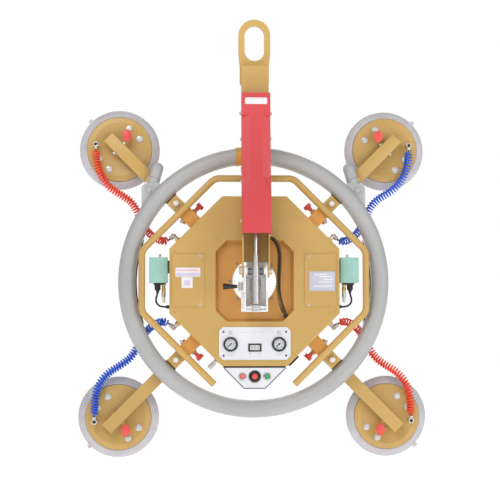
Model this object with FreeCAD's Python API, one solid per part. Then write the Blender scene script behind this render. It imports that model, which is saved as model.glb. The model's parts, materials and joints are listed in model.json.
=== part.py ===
import FreeCAD, Part
import math
import os

# Four-cup vacuum lifter for glass and panels, hung from a crane by its lifting eye.
# Modelled round the hub: X = 0 and Z = 0 on the rotation axis, Y = 0 in the ring's plane,
# +Z up, cups facing +Y. Everything is moved at the end so that the origin is the eye's crown.

# --- driving dimensions, in millimetres and degrees ---
cup_spacing = 1000.0          # between cup centres, across and up
cup_diameter = 300.0
cup_lip_y = 110.0             # plane of the four lips
cup_plate_diameter = 241.0
cup_plate_thickness = 8.0
cup_plate_front_y = 76.0
arm_width = 46.0
arm_wall = 4.0
arm_front_y = 34.0
arm_depth = 30.0
arm_overrun = 58.0            # past the cup's centre
ring_centre_radius = 467.0
ring_tube_radius = 32.0
ring_wall = 3.0
body_across_flats = 620.0
body_flat_length = 236.0
body_front_y = -70.0
body_back_y = 26.0
sheet = 2.5                   # body sheet metal
pocket_width = 285.0
pocket_height = 295.0
pocket_chamfer = 40.0
pocket_bevel = 10.0
pocket_floor_y = -42.0
floor_thickness = 8.0
bore_radius = 80.0
index_circle_radius = 88.0
index_hole_radius = 5.0
index_count = 8
slew_outer_radius = 112.0
slew_split_radius = 97.0
slew_inner_radius = 82.0
eye_crown_z = 940.0
eye_y = -60.0                 # middle of the eye plate
eye_thickness = 20.0
eye_width = 117.0
eye_slot_width = 72.0
eye_slot_length = 131.0
eye_shank_width = 107.0
channel_width = 98.0
channel_wall = 5.0
pivot_y = -135.0              # tilt pivot
pivot_z = 35.0
pivot_pin_radius = 10.0
running_clearance = 0.05      # radial, pins and shafts in their bores
body_gap = 0.5                # between faces that slide past each other
yoke_width = 84.0
yoke_wall = 6.0
strut_top_y = -140.0
strut_top_z = 400.0
strut_foot_y = -150.0
strut_foot_z = -100.0
strut_rod_radius = 8.5
strut_pin_radius = 8.0
strut_tube_radius = 12.0
strut_tube_length = 190.0
cover_wall = 3.0
handle_radius = 12.5
handle_half_width = 411.0
handle_half_height = 378.0
handle_short = 112.0          # half length of the upright sides
handle_flat = 145.0           # half length of the top
handle_bend_radius = 45.0
sleeve_width = 50.0
sleeve_end_radius = 374.0
boss_radius_place = 406.0
boss_half = 23.0              # half the side of the square block on the sliding bar
knuckle_radius = 22.0
knuckle_x = 367.0
knuckle_z = 384.0
knuckle_length = 40.0         # of the turning half
knuckle_lean = 16.0           # degrees from upright
knuckle_y = 14.0
fold_pin_radius = 8.0
hose_coil_diameter = 31.0
cable_coil_diameter = 16.0
switch_lead_diameter = 7.0

body_half = body_across_flats / 2
cup_offset = cup_spacing / 2
cup_radial = cup_offset * math.sqrt(2)
ring_inner = ring_centre_radius - ring_tube_radius
ring_outer = ring_centre_radius + ring_tube_radius
diagonal_half = (body_half + body_flat_length / 2) / math.sqrt(2)
origin = FreeCAD.Vector(0, eye_y, eye_crown_z)
corners = ("upper_right", "upper_left", "lower_left", "lower_right")
nodes = {}


# --- small helpers ---
def vec(x, y, z):
    return FreeCAD.Vector(x, y, z)


def block(x_low, x_high, y_low, y_high, z_low, z_high):
    return Part.makeBox(x_high - x_low, y_high - y_low, z_high - z_low, vec(x_low, y_low, z_low))


def rod(start, end, radius):
    run = end - start
    return Part.makeCylinder(radius, run.Length, start, run)


def cone(start, end, radius_start, radius_end):
    run = end - start
    return Part.makeCone(radius_start, radius_end, run.Length, start, run)


def ball(centre, radius):
    return Part.makeSphere(radius, centre)


def plate_xz(outline, y_front, y_back):
    """A flat plate from (x, z) points, between two depths."""
    wire = Part.makePolygon([vec(x, y_front, z) for x, z in outline + outline[:1]])
    return Part.Face(wire).extrude(vec(0, y_back - y_front, 0))


def plate_yz(outline, x_left, x_right):
    """A flat plate from (y, z) points, between two widths."""
    wire = Part.makePolygon([vec(x_left, y, z) for y, z in outline + outline[:1]])
    return Part.Face(wire).extrude(vec(x_right - x_left, 0, 0))


def octagon(half_width, half_height, chamfer):
    near_x = half_width - chamfer
    near_z = half_height - chamfer
    quarter = [(half_width, near_z), (near_x, half_height)]
    outline = quarter + [(-x, z) for x, z in reversed(quarter)]
    return outline + [(-x, -z) for x, z in outline]


def fused(first, *others):
    return first.fuse(list(others)).removeSplitter()


def turned(shape, degrees):
    """A copy turned about the hub's axis, from +X towards +Z."""
    copy = shape.copy()
    copy.rotate(vec(0, 0, 0), vec(0, -1, 0), degrees)
    return copy


def mirrored(shape):
    return shape.mirror(vec(0, 0, 0), vec(1, 0, 0))


def at_corner(shape, corner):
    """Takes a shape laid along +X, with +Z towards X = 0, to one corner of the frame."""
    if corner == "upper_right":
        return turned(shape, 45)
    if corner == "lower_left":
        return turned(shape, 225)
    if corner == "upper_left":
        return mirrored(turned(shape, 45))
    return mirrored(turned(shape, 225))


def group(shapes):
    return Part.makeCompound(shapes)


def hexagon_head(centre, direction, across_flats, height):
    radius = across_flats / math.sqrt(3)
    points = []
    for step in range(7):
        angle = math.radians(60 * step)
        points.append(vec(radius * math.cos(angle), radius * math.sin(angle), 0))
    head = Part.Face(Part.makePolygon(points)).extrude(vec(0, 0, height))
    head.Placement = FreeCAD.Placement(centre, FreeCAD.Rotation(vec(0, 0, 1), direction))
    return head


def routed_tube(name, points, radius):
    """A round tube along straight runs joined by arcs as large as the runs allow."""
    edges = []
    radii = []
    last = points[0]
    for before, corner, after in zip(points, points[1:], points[2:]):
        come = corner - before
        go = after - corner
        half_turn = come.getAngle(go) / 2
        reach = 0.45 * min(come.Length, go.Length)
        radii.append(reach / math.tan(half_turn))
        come.normalize()
        go.normalize()
        start = corner - come * reach
        end = corner + go * reach
        chord_middle = (start + end) / 2
        to_corner = corner - chord_middle
        bend = radii[-1]
        sagitta = bend * (1 - math.cos(half_turn))
        to_corner.normalize()
        edges.append(Part.LineSegment(last, start).toShape())
        edges.append(Part.Arc(start, chord_middle + to_corner * sagitta, end).toShape())
        last = end
    edges.append(Part.LineSegment(last, points[-1]).toShape())
    wire = Part.Wire(edges)
    run = points[1] - points[0]
    section = Part.Wire([Part.makeCircle(radius, points[0], run)])
    pipe = wire.makePipeShell([section], True, True)
    expected = math.pi * radius**2 * wire.Length
    print(
        name, "length %.0f mm, volume ratio %.3f, radii" % (wire.Length, pipe.Volume / expected),
        [round(r) for r in radii],
    )
    return pipe


# --- lift arm: the part that hangs from the crane ---
arm_top_z = 780.0
arm_foot_z = 63.0
arm_rear_top_y = -72.0
arm_rear_foot_y = -112.0
arm_front_top_y = -125.0
arm_front_foot_y = -185.0
lug_radius = 26.0
cover_top_z = 671.0
cover_foot_z = 161.0
cover_half = channel_width / 2 + 2.5
cover_front_top_y = -185.0
cover_front_foot_y = -255.0


def arm_rear(z):
    share = (arm_top_z - z) / (arm_top_z - 20.0)
    return arm_rear_top_y + share * (arm_rear_foot_y - arm_rear_top_y)


def arm_front(z):
    share = (arm_top_z - z) / (arm_top_z - arm_foot_z)
    return arm_front_top_y + share * (arm_front_foot_y - arm_front_top_y)


def lifting_eye():
    y_low = eye_y - eye_thickness / 2
    y_high = eye_y + eye_thickness / 2
    half = eye_width / 2
    crown_centre = eye_crown_z - eye_slot_width / 2
    foot_centre = eye_crown_z - eye_slot_length + eye_slot_width / 2
    head = block(-half, half, y_low, y_high, foot_centre - 10, crown_centre)
    dome = rod(vec(0, y_low, crown_centre), vec(0, y_high, crown_centre), half)
    shank_half = eye_shank_width / 2
    outline = [
        (-half, foot_centre - 10),
        (-shank_half, foot_centre - 55),
        (-shank_half, arm_top_z - 55),
        (-shank_half + 12, arm_top_z - 69),
        (shank_half - 12, arm_top_z - 69),
        (shank_half, arm_top_z - 55),
        (shank_half, foot_centre - 55),
        (half, foot_centre - 10),
    ]
    shank = plate_xz(outline, y_low, y_high)
    slot_half = eye_slot_width / 2
    slot = block(-slot_half, slot_half, y_low - 1, y_high + 1, foot_centre, crown_centre)
    slot_top = rod(vec(0, y_low - 1, crown_centre), vec(0, y_high + 1, crown_centre), slot_half)
    slot_foot = rod(vec(0, y_low - 1, foot_centre), vec(0, y_high + 1, foot_centre), slot_half)
    eye = fused(head, dome, shank).cut(fused(slot, slot_top, slot_foot))
    return eye.cut(plate_yz(channel_side_outline(), -channel_width / 2, channel_width / 2))


def channel_side_outline():
    return [
        (arm_rear_top_y, arm_top_z),
        (arm_front_top_y, arm_top_z),
        (arm_front_foot_y, arm_foot_z),
        (pivot_y - lug_radius, pivot_z),
        (pivot_y + 8, pivot_z - 10),
        (arm_rear(arm_foot_z), arm_foot_z),
    ]


def arm_channel():
    half = channel_width / 2
    solid = plate_yz(channel_side_outline(), -half, half)
    inner = half - channel_wall
    web = 6.0
    web_foot_z = 66.0
    open_top_z = 650.0
    closed_top_z = arm_top_z - 60
    open_part = plate_yz(
        [
            (arm_rear(open_top_z) - web, open_top_z),
            (arm_front_top_y - 60, open_top_z),
            (arm_front_foot_y - 60, -20),
            (arm_rear(arm_foot_z) + 60, -20),
            (arm_rear(arm_foot_z) + 60, web_foot_z),
            (arm_rear(web_foot_z) - web, web_foot_z),
        ],
        -inner,
        inner,
    )
    closed_part = plate_yz(
        [
            (arm_rear(open_top_z - 1) - web, open_top_z - 1),
            (arm_rear(closed_top_z) - web, closed_top_z),
            (arm_front(closed_top_z) + web, closed_top_z),
            (arm_front(open_top_z - 1) + web, open_top_z - 1),
        ],
        -inner,
        inner,
    )
    channel = solid.cut(fused(open_part, closed_part))
    lugs = []
    bores = []
    for side in (-1, 1):
        outer_x = side * half
        inner_x = side * inner
        lugs.append(rod(vec(inner_x, pivot_y, pivot_z), vec(outer_x, pivot_y, pivot_z), lug_radius))
    bores.append(rod(vec(-half - 1, pivot_y, pivot_z), vec(half + 1, pivot_y, pivot_z),
                     pivot_pin_radius + running_clearance))
    top_pin = vec(0, strut_top_y, strut_top_z)
    reach = vec(half + 1, 0, 0)
    bores.append(rod(top_pin - reach, top_pin + reach, strut_pin_radius + running_clearance))
    for side in (-1, 1):
        inside = vec(side * (inner - 6), strut_top_y, strut_top_z)
        lugs.append(rod(inside, vec(side * inner, strut_top_y, strut_top_z), 14.0))
    return fused(channel, *lugs).cut(fused(*bores))


def arm_cover():
    half = cover_half
    outer = plate_yz(
        [
            (arm_front(cover_top_z), cover_top_z),
            (cover_front_top_y, cover_top_z),
            (cover_front_foot_y, cover_foot_z),
            (arm_front(cover_foot_z), cover_foot_z),
        ],
        -half,
        half,
    )
    flat_half = 23.0
    bevel = 13.0
    bevel_top_z = 588.0
    bevel_foot_z = 362.0
    flare_z = 296.0

    def front(z):
        share = (cover_top_z - z) / (cover_top_z - cover_foot_z)
        return cover_front_top_y + share * (cover_front_foot_y - cover_front_top_y)

    def wedge_wire(z, side, width, depth):
        a = vec(side * (half - width), front(z), z)
        b = vec(side * half, front(z) + depth, z)
        c = vec(side * (half + 4), front(z) - 4, z)
        return Part.makePolygon([a, b, c, a])

    cut = []
    full = half - flat_half
    for side in (-1, 1):
        stations = [
            wedge_wire(bevel_top_z, side, full, bevel),
            wedge_wire(bevel_foot_z, side, full, bevel),
        ]
        tail = [
            wedge_wire(bevel_foot_z, side, full, bevel),
            wedge_wire(flare_z, side, 3.0, 2.0),
        ]
        cut.append(Part.makeLoft(stations, True, True))
        cut.append(Part.makeLoft(tail, True, True))
    outer = outer.cut(fused(*cut))
    wall = cover_wall
    inner_half = half - wall
    inner = plate_yz(
        [
            (arm_front(cover_top_z) + 5, cover_top_z - wall),
            (front(cover_top_z) + bevel + wall, cover_top_z - wall),
            (front(bevel_foot_z) + bevel + wall, bevel_foot_z),
            (front(flare_z) + wall + 2, flare_z),
            (front(cover_foot_z) + wall, cover_foot_z - 1),
            (arm_front(cover_foot_z) + 5, cover_foot_z - 1),
        ],
        -inner_half,
        inner_half,
    )
    return outer.cut(inner)


def arm_pins():
    """Tilt pins, the strut's upper pin and the bolts that hold the cover."""
    half = channel_width / 2
    pieces = []
    for side in (-1, 1):
        pin = rod(vec(side * (yoke_width / 2 - yoke_wall - 5), pivot_y, pivot_z),
                  vec(side * (half + 5), pivot_y, pivot_z), pivot_pin_radius)
        head = rod(vec(side * (half + 0.2), pivot_y, pivot_z), vec(side * (half + 10), pivot_y, pivot_z), 15.0)
        pieces.append(fused(pin, head))
    top_pin = vec(0, strut_top_y, strut_top_z)
    reach = vec(half + 4, 0, 0)
    pieces.append(rod(top_pin - reach, top_pin + reach, strut_pin_radius))
    bolt_z = 600.0
    for side in (-1, 1):
        at = vec(side * cover_half, arm_front(bolt_z) - 14, bolt_z)
        pieces.append(hexagon_head(at, vec(side, 0, 0), 10.0, 7.0))
    for stud_z in (505.0, 352.0):
        at = vec(-cover_half, arm_front(stud_z) - 12, stud_z)
        pieces.append(hexagon_head(at, vec(-1, 0, 0), 8.0, 4.0))
    return group(pieces)


strut_top = vec(0, strut_top_y, strut_top_z)
strut_foot = vec(0, strut_foot_y, strut_foot_z)
strut_down = strut_foot - strut_top
strut_length = strut_down.Length
strut_down.normalize()


def strut_rod():
    piston = strut_foot - strut_down * 152.0
    stem = rod(strut_top + strut_down * 12.0, piston, strut_rod_radius)
    eye = rod(strut_top - vec(15, 0, 0), strut_top + vec(15, 0, 0), 17.0)
    bore = rod(strut_top - vec(16, 0, 0), strut_top + vec(16, 0, 0), strut_pin_radius + running_clearance)
    return fused(stem, eye).cut(bore)


def strut_cylinder():
    top = strut_foot - strut_down * strut_tube_length
    shell = rod(strut_foot - strut_down * 14.0, top, strut_tube_radius)
    bore = rod(strut_foot - strut_down * 22.0, top - strut_down, strut_rod_radius + 0.1)
    eye = rod(strut_foot - vec(13, 0, 0), strut_foot + vec(13, 0, 0), 16.0)
    return fused(shell, eye).cut(bore)


# --- yoke: tilts on the lift arm and carries the frame's bearing ---
yoke_top_z = 52.0
yoke_foot_z = -113.0
yoke_back_y = -96.0
yoke_front_y = -172.0


def yoke():
    half = yoke_width / 2
    outline = [
        (yoke_back_y, yoke_top_z),
        (yoke_front_y + 12, yoke_top_z),
        (yoke_front_y + 12, -40.0),
        (yoke_front_y, -60.0),
        (yoke_front_y, yoke_foot_z),
        (yoke_back_y, yoke_foot_z),
    ]
    cheeks = [
        plate_yz(outline, -half, -half + yoke_wall),
        plate_yz(outline, half - yoke_wall, half),
    ]
    back = block(-half, half, yoke_back_y - yoke_wall, yoke_back_y, yoke_foot_z, yoke_top_z)
    foot = block(-half, half, yoke_front_y + 6, yoke_back_y, yoke_foot_z, yoke_foot_z + 5)
    tie_bars = [
        block(-half, half, yoke_back_y - 20, yoke_back_y - 2, 20.0, 25.0),
        block(-half, half, yoke_back_y - 20, yoke_back_y - 2, 38.0, 43.0),
    ]
    stubs = []
    for side in (-1, 1):
        stubs.append(rod(vec(side * half, strut_foot_y, strut_foot_z),
                         vec(side * 14.0, strut_foot_y, strut_foot_z), 8.0))
    window = block(-20, 20, yoke_back_y - yoke_wall - 1, yoke_back_y + 1, -85, 10)
    bosses = rod(vec(-half, pivot_y, pivot_z), vec(half, pivot_y, pivot_z), 18.0)
    gap_half = half - yoke_wall - 6
    gap = block(-gap_half, gap_half, -200, yoke_back_y - 2, pivot_z - 20, pivot_z + 20)
    lever_ears = []
    for z in (lever_z + lever_hub_half, lever_z - lever_hub_half - 6):
        lever_ears.append(block(lever_x - 8, -half, lever_y - 9, lever_y + 9, z, z + 6))
    lever_pin = rod(vec(lever_x, lever_y, lever_z - lever_hub_half - 6),
                    vec(lever_x, lever_y, lever_z + lever_hub_half + 6), lever_pin_radius)
    guide = rod(vec(0, yoke_back_y - yoke_wall, -index_circle_radius), vec(0, yoke_back_y + 18, -index_circle_radius), 9.5)
    guide_bore = rod(vec(0, yoke_back_y - yoke_wall - 1, -index_circle_radius),
                     vec(0, yoke_back_y + 19, -index_circle_radius),
                     index_hole_radius - 0.1 + running_clearance)
    stop_plate = block(-half - 9, -half, yoke_back_y - 14, yoke_back_y, yoke_foot_z, -38)
    pieces = [back.cut(window), foot, bosses.cut(gap), guide, lever_pin, stop_plate]
    frame = fused(*cheeks, *pieces, *tie_bars, *stubs, *lever_ears).cut(guide_bore)
    pin = rod(vec(-half - 1, pivot_y, pivot_z), vec(half + 1, pivot_y, pivot_z),
              pivot_pin_radius + running_clearance)
    strut_room = rod(strut_foot + vec(-13.8, 0, 0), strut_foot + vec(13.8, 0, 0), 19.0)
    return frame.cut(pin).cut(strut_room)


def slew_hub():
    """Inner race of the bearing, the bar across it and the cable bracket."""
    race_front = pocket_floor_y + floor_thickness + 1
    race_back = race_front + 18
    race = rod(vec(0, race_front, 0), vec(0, race_back, 0), slew_split_radius - body_gap)
    race = race.cut(rod(vec(0, race_front - 1, 0), vec(0, race_back + 1, 0), slew_inner_radius))
    bar = block(-28, 28, race_back, race_back + 12, -slew_inner_radius - 8, slew_inner_radius + 8)
    neck_left = block(-34, -22, yoke_back_y, race_back + 12, -62, 55)
    neck_right = block(22, 34, yoke_back_y, race_back + 12, -62, 55)
    cable_end = vec(*cable_route[0])
    cable_out = vec(*cable_route[1]) - cable_end
    cable_out.normalize()
    bracket = fused(
        block(22, 44, yoke_back_y, yoke_back_y + 4, 30, cable_end.z + 12),
        block(34, 44, cable_end.y - 3, yoke_back_y, cable_end.z - 2, cable_end.z + 12),
        rod(cable_end - cable_out * 18, cable_end, cable_coil_diameter / 2 - 1),
    )
    return fused(race, bar, neck_left, neck_right, bracket)


lever_x = -53.0
lever_z = -22.0
lever_y = -116.0
lever_hub_half = 14.0
lever_pin_radius = 3.0
pin_rest_gap = 2.0            # the index pin's tip stands this far off the plate


def index_lever():
    top = vec(lever_x, lever_y, lever_z + lever_hub_half - body_gap)
    foot = vec(lever_x, lever_y, lever_z - lever_hub_half + body_gap)
    hub = rod(foot, top, 8.0)
    stem = rod(vec(lever_x, lever_y, lever_z), vec(lever_x - 14, lever_y, lever_z), 5.0)
    bore = rod(vec(lever_x, lever_y, lever_z - 30), vec(lever_x, lever_y, lever_z + 30),
               lever_pin_radius + running_clearance)
    return fused(hub, stem).cut(bore)


def lever_grip():
    start = vec(lever_x - 14, lever_y, lever_z)
    end = vec(lever_x - 64, lever_y, lever_z)
    return cone(start, end, 7.0, 11.0)


def index_pin():
    z = -index_circle_radius
    tip_y = pocket_floor_y - pin_rest_gap
    stem = rod(vec(0, tip_y - 62, z), vec(0, tip_y, z), index_hole_radius - 0.1)
    collar = rod(vec(0, tip_y - 22, z), vec(0, tip_y - 18, z), 8.0)
    return fused(stem, collar)


# --- carrier: body, ring and everything that turns with them ---
def body_outline(inset=0.0):
    half = body_half - inset
    flat_half = body_flat_length / 2 - inset * math.tan(math.radians(22.5))
    return octagon(half, half, half - flat_half)


def pocket_outline(inset=0.0):
    return octagon(pocket_width / 2 - inset, pocket_height / 2 - inset, pocket_chamfer - inset * 0.6)


hatch_inner_x = 182.0
hatch_outer_x = 299.0
hatch_top_z = 99.0
hatch_foot_z = -94.0
hatch_overlap = 12.0          # of the door over the cover, all round
hatch_hinge_y = body_front_y - 2.8
panel_width = 260.0
panel_height = 119.0
panel_z = -227.0
gauge_x = 88.0
gauge_z = -230.0
gauge_radius = 26.5
meter_z = -242.0
box_top_z = -315.0
box_foot_z = -391.0
box_top_half = 113.5
box_foot_half = 38.5


def front_cover():
    shell = plate_xz(body_outline(), body_front_y, body_back_y)
    rim = [edge for edge in shell.Edges if abs(edge.CenterOfMass.y - body_front_y) < 0.1]
    shell = shell.makeFillet(2 * sheet, rim)
    shell = shell.cut(plate_xz(body_outline(sheet), body_front_y + 2 * sheet, body_back_y + 1))
    shell = shell.cut(plate_xz(body_outline(3 * sheet), body_front_y + sheet, body_back_y + 1))
    shell = shell.cut(plate_xz(pocket_outline(), body_front_y - 1, body_front_y + sheet + 1))
    for side in (-1, 1):
        x_low = min(side * hatch_inner_x, side * hatch_outer_x) + hatch_overlap
        x_high = max(side * hatch_inner_x, side * hatch_outer_x) - hatch_overlap
        opening = block(x_low, x_high, body_front_y - 1, body_front_y + sheet + 1,
                        hatch_foot_z + hatch_overlap, hatch_top_z - hatch_overlap)
        shell = shell.cut(opening)
    panel_opening = block(-panel_width / 2 + 12, panel_width / 2 - 12, body_front_y - 1,
                          body_front_y + sheet + 1, panel_z - 48, panel_z + 48)
    return shell.cut(panel_opening)


def rear_casing():
    plate = plate_xz(body_outline(), body_back_y, body_back_y + sheet)
    lip = plate_xz(body_outline(sheet + 0.3), body_back_y - 14, body_back_y)
    lip = lip.cut(plate_xz(body_outline(2 * sheet + 0.3), body_back_y - 15, body_back_y + 1))
    tunnel_front = pocket_floor_y + floor_thickness + 24
    tunnel = rod(vec(0, tunnel_front, 0), vec(0, body_back_y, 0), slew_outer_radius + 3)
    casing = fused(plate, lip, tunnel)
    return casing.cut(rod(vec(0, tunnel_front - 1, 0), vec(0, body_back_y + 5, 0), slew_outer_radius))


def pocket_wire(inset, y):
    points = [vec(x, y, z) for x, z in pocket_outline(inset)]
    return Part.makePolygon(points + points[:1])


def index_plate():
    rim_y = body_front_y + sheet
    outer_front = pocket_wire(-sheet, rim_y)
    outer_back = pocket_wire(pocket_bevel - sheet, pocket_floor_y)
    inner_front = pocket_wire(0.0, rim_y)
    inner_back = pocket_wire(pocket_bevel, pocket_floor_y)
    walls = Part.makeLoft([outer_front, outer_back], True, True)
    walls = walls.cut(Part.makeLoft([inner_front, inner_back], True, True))
    floor = plate_xz(pocket_outline(pocket_bevel - sheet), pocket_floor_y, pocket_floor_y + floor_thickness)
    plate = fused(walls, floor)
    low = vec(0, pocket_floor_y - 1, 0)
    high = vec(0, pocket_floor_y + floor_thickness + 1, 0)
    plate = plate.cut(rod(low, high, bore_radius))
    holes = []
    for step in range(index_count):
        angle = math.radians(360 * step / index_count)
        across = vec(index_circle_radius * math.cos(angle), 0, index_circle_radius * math.sin(angle))
        holes.append(rod(low + across, high + across, index_hole_radius))
    return plate.cut(fused(*holes))


def slew_ring():
    """Outer race of the bearing, bolted behind the index plate."""
    front = pocket_floor_y + floor_thickness
    race = rod(vec(0, front, 0), vec(0, front + 20, 0), slew_outer_radius)
    return race.cut(rod(vec(0, front - 1, 0), vec(0, front + 21, 0), slew_split_radius))


def control_panel():
    plate = plate_xz([(x, z + panel_z) for x, z in octagon(panel_width / 2, panel_height / 2, 14)],
                     body_front_y - sheet, body_front_y)
    holes = []
    for side in (-1, 1):
        holes.append(rod(vec(side * gauge_x, body_front_y - 10, gauge_z),
                         vec(side * gauge_x, body_front_y + 10, gauge_z), gauge_radius - 1.5))
        holes.append(rod(vec(side * gauge_x, body_front_y - 10, -188), vec(side * gauge_x, body_front_y + 10, -188), 5.0))
    holes.append(block(-22.5, 22.5, body_front_y - 10, body_front_y + 10, meter_z - 11, meter_z + 11))
    return plate.cut(fused(*holes))


gauge_front_y = body_front_y - 9.0
dial_y = body_front_y - 3.0


def panel_instruments():
    """Two vacuum gauges, the digital meter and two lamps."""
    pieces = []
    for side in (-1, 1):
        at = vec(side * gauge_x, 0, gauge_z)
        rim_front = at + vec(0, gauge_front_y, 0)
        panel_face = at + vec(0, body_front_y - sheet, 0)
        rim = rod(rim_front, panel_face, gauge_radius).cut(rod(rim_front, panel_face + vec(0, 1, 0), gauge_radius - 4.5))
        case = rod(at + vec(0, dial_y, 0), at + vec(0, body_front_y + 24, 0), gauge_radius - 1.7)
        post = rod(at + vec(0, dial_y - 3.0, 0), at + vec(0, dial_y, 0), 1.0)
        pieces.append(fused(rim, case, post))
        lamp = rod(vec(side * gauge_x, body_front_y + 14, -188), vec(side * gauge_x, body_front_y - 4, -188), 4.8)
        bezel = rod(vec(side * gauge_x, body_front_y - sheet, -188),
                    vec(side * gauge_x, body_front_y - sheet - 2, -188), 6.5)
        pieces.append(fused(lamp, bezel))
    frame = block(-24, 24, body_front_y - sheet - 3, body_front_y - sheet, meter_z - 14.5, meter_z + 14.5)
    case = block(-22, 22, body_front_y - sheet, body_front_y + 30, meter_z - 10.5, meter_z + 10.5)
    screen = block(-19, 19, body_front_y - sheet - 4, body_front_y - sheet - 2, meter_z - 9.5, meter_z + 9.5)
    pieces.append(fused(frame, case).cut(screen))
    return group(pieces + box_bezels())


def gauge_needle(side):
    at = vec(side * gauge_x, 0, gauge_z)
    hub = rod(at + vec(0, dial_y - 2.5, 0), at + vec(0, dial_y - 0.6, 0), 2.6)
    angle = math.radians(225)
    along = vec(math.cos(angle), 0, math.sin(angle))
    across = vec(-along.z, 0, along.x)
    tip = at + along * 17.5
    tail = at - along * 6
    low = vec(0, dial_y - 2.0, 0)
    blade_wire = Part.makePolygon([tail + across * 1.2 + low, tip + across * 0.5 + low,
                                   tip - across * 0.5 + low, tail - across * 1.2 + low,
                                   tail + across * 1.2 + low])
    blade = Part.Face(blade_wire).extrude(vec(0, 1.0, 0))
    bore = rod(at + vec(0, dial_y - 5, 0), at + vec(0, dial_y + 1, 0), 1.0 + running_clearance)
    return fused(hub, blade).cut(bore)


box_front_top_y = body_front_y + 2.0
box_front_foot_y = body_front_y + 14.0
box_back_y = body_back_y - 6.0


def box_front(z):
    share = (box_top_z - z) / (box_top_z - box_foot_z)
    return box_front_top_y + share * (box_front_foot_y - box_front_top_y)


def control_box():
    """The sloped switch box under the body, open at the back where it meets the body."""
    outline = [(-box_top_half, box_top_z), (box_top_half, box_top_z),
               (box_foot_half, box_foot_z), (-box_foot_half, box_foot_z)]
    inner = [(-box_top_half + 8, box_top_z - sheet), (box_top_half - 8, box_top_z - sheet),
             (box_foot_half - 2, box_foot_z + sheet), (-box_foot_half + 2, box_foot_z + sheet)]
    slope = [(box_front(box_top_z + 1), box_top_z + 1), (box_front(box_foot_z - 1), box_foot_z - 1),
             (box_back_y, box_foot_z - 1), (box_back_y, box_top_z + 1)]
    inner_slope = [(box_front(box_top_z + 1) + sheet, box_top_z + 1),
                   (box_front(box_foot_z - 1) + sheet, box_foot_z - 1),
                   (box_back_y - sheet, box_foot_z - 1), (box_back_y - sheet, box_top_z + 1)]
    solid = plate_xz(outline, body_front_y - 5, body_back_y).common(plate_yz(slope, -200, 200))
    hollow = plate_xz(inner, body_front_y - 5, body_back_y).common(plate_yz(inner_slope, -200, 200))
    body = solid.cut(hollow)
    top_tab = block(-box_top_half + 10, box_top_half - 10, body_front_y + 4, body_front_y + 10,
                    box_top_z, -body_half)
    top_tab = top_tab.fuse(block(-box_top_half + 10, box_top_half - 10, body_back_y - 24, body_back_y - 18,
                                 box_top_z, -body_half))
    shell = fused(body, top_tab)
    for x, radius in button_holes():
        shell = shell.cut(rod(vec(x, body_front_y - 20, button_z), vec(x, body_front_y + 24, button_z), radius))
    return shell


button_z = -346.0
button_x = 45.0
button_hole_radius = 11.2
knob_hole_radius = 13.0


def button_holes():
    return [(-button_x, button_hole_radius), (button_x, button_hole_radius), (0.0, knob_hole_radius)]


def button_face(z=button_z):
    return box_front(z)


def box_bezels():
    """The three collars that hold the buttons in the switch box."""
    collars = []
    face = button_face()
    for x, radius in button_holes():
        outer = 14.5 if x else 22.5
        wedge = rod(vec(x, face - 8, button_z), vec(x, face + 14, button_z), outer)
        wedge = wedge.cut(plate_yz([(box_front(-300), -300), (box_front(-400), -400), (60, -400), (60, -300)],
                                   x - 30, x + 30))
        sleeve = rod(vec(x, face - 8, button_z), vec(x, face + 20, button_z), radius - 0.2)
        bore = rod(vec(x, face - 9, button_z), vec(x, face + 21, button_z), radius - 2.0)
        collars.append(fused(wedge, sleeve).cut(bore))
    return collars


def push_button(x):
    face = button_face()
    cap = rod(vec(x, face - 11, button_z), vec(x, face + 16, button_z), button_hole_radius - 2.3)
    return cap


def stop_button():
    face = button_face()
    return rod(vec(0, face - 11, button_z), vec(0, face + 16, button_z), knob_hole_radius - 2.3)


handle_y = -sleeve_width / 2 - handle_radius


def handle_tube():
    half_w = handle_half_width
    half_h = handle_half_height
    outline = [
        (-handle_flat - 4, -half_h + 4),
        (-half_w, -handle_short),
        (-half_w, handle_short),
        (-handle_flat, half_h),
        (handle_flat, half_h),
        (half_w, handle_short),
        (half_w, -handle_short),
        (handle_flat + 4, -half_h + 4),
    ]
    points = [vec(x, handle_y, z) for x, z in outline]
    edges = []
    last = points[0]
    for before, corner, after in zip(points, points[1:], points[2:]):
        come = corner - before
        go = after - corner
        half_turn = come.getAngle(go) / 2
        reach = handle_bend_radius * math.tan(half_turn)
        come.normalize()
        go.normalize()
        start = corner - come * reach
        end = corner + go * reach
        middle = (start + end) / 2
        outward = corner - middle
        outward.normalize()
        bulge = handle_bend_radius * (1 - math.cos(half_turn))
        edges.append(Part.LineSegment(last, start).toShape())
        edges.append(Part.Arc(start, middle + outward * bulge, end).toShape())
        last = end
    edges.append(Part.LineSegment(last, points[-1]).toShape())
    wire = Part.Wire(edges)
    run = points[1] - points[0]
    outer = wire.makePipeShell([Part.Wire([Part.makeCircle(handle_radius, points[0], run)])], True, True)
    inner = wire.makePipeShell([Part.Wire([Part.makeCircle(handle_radius - 2.5, points[0], run)])], True, True)
    return outer.cut(inner)


def ring_torus(tube_radius):
    return Part.makeTorus(ring_centre_radius, tube_radius, vec(0, 0, 0), vec(0, 1, 0))


def ring_frame():
    return ring_torus(ring_tube_radius).cut(ring_torus(ring_tube_radius - ring_wall))


def ring_bracket():
    """The strap round the top of the ring, beside the lift arm."""
    centre_x = -55.0
    half = 12.0
    band = ring_torus(ring_tube_radius + 3).cut(ring_torus(ring_tube_radius))
    return band.common(block(centre_x - half, centre_x + half, -60, 60, 380, 520))


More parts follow.
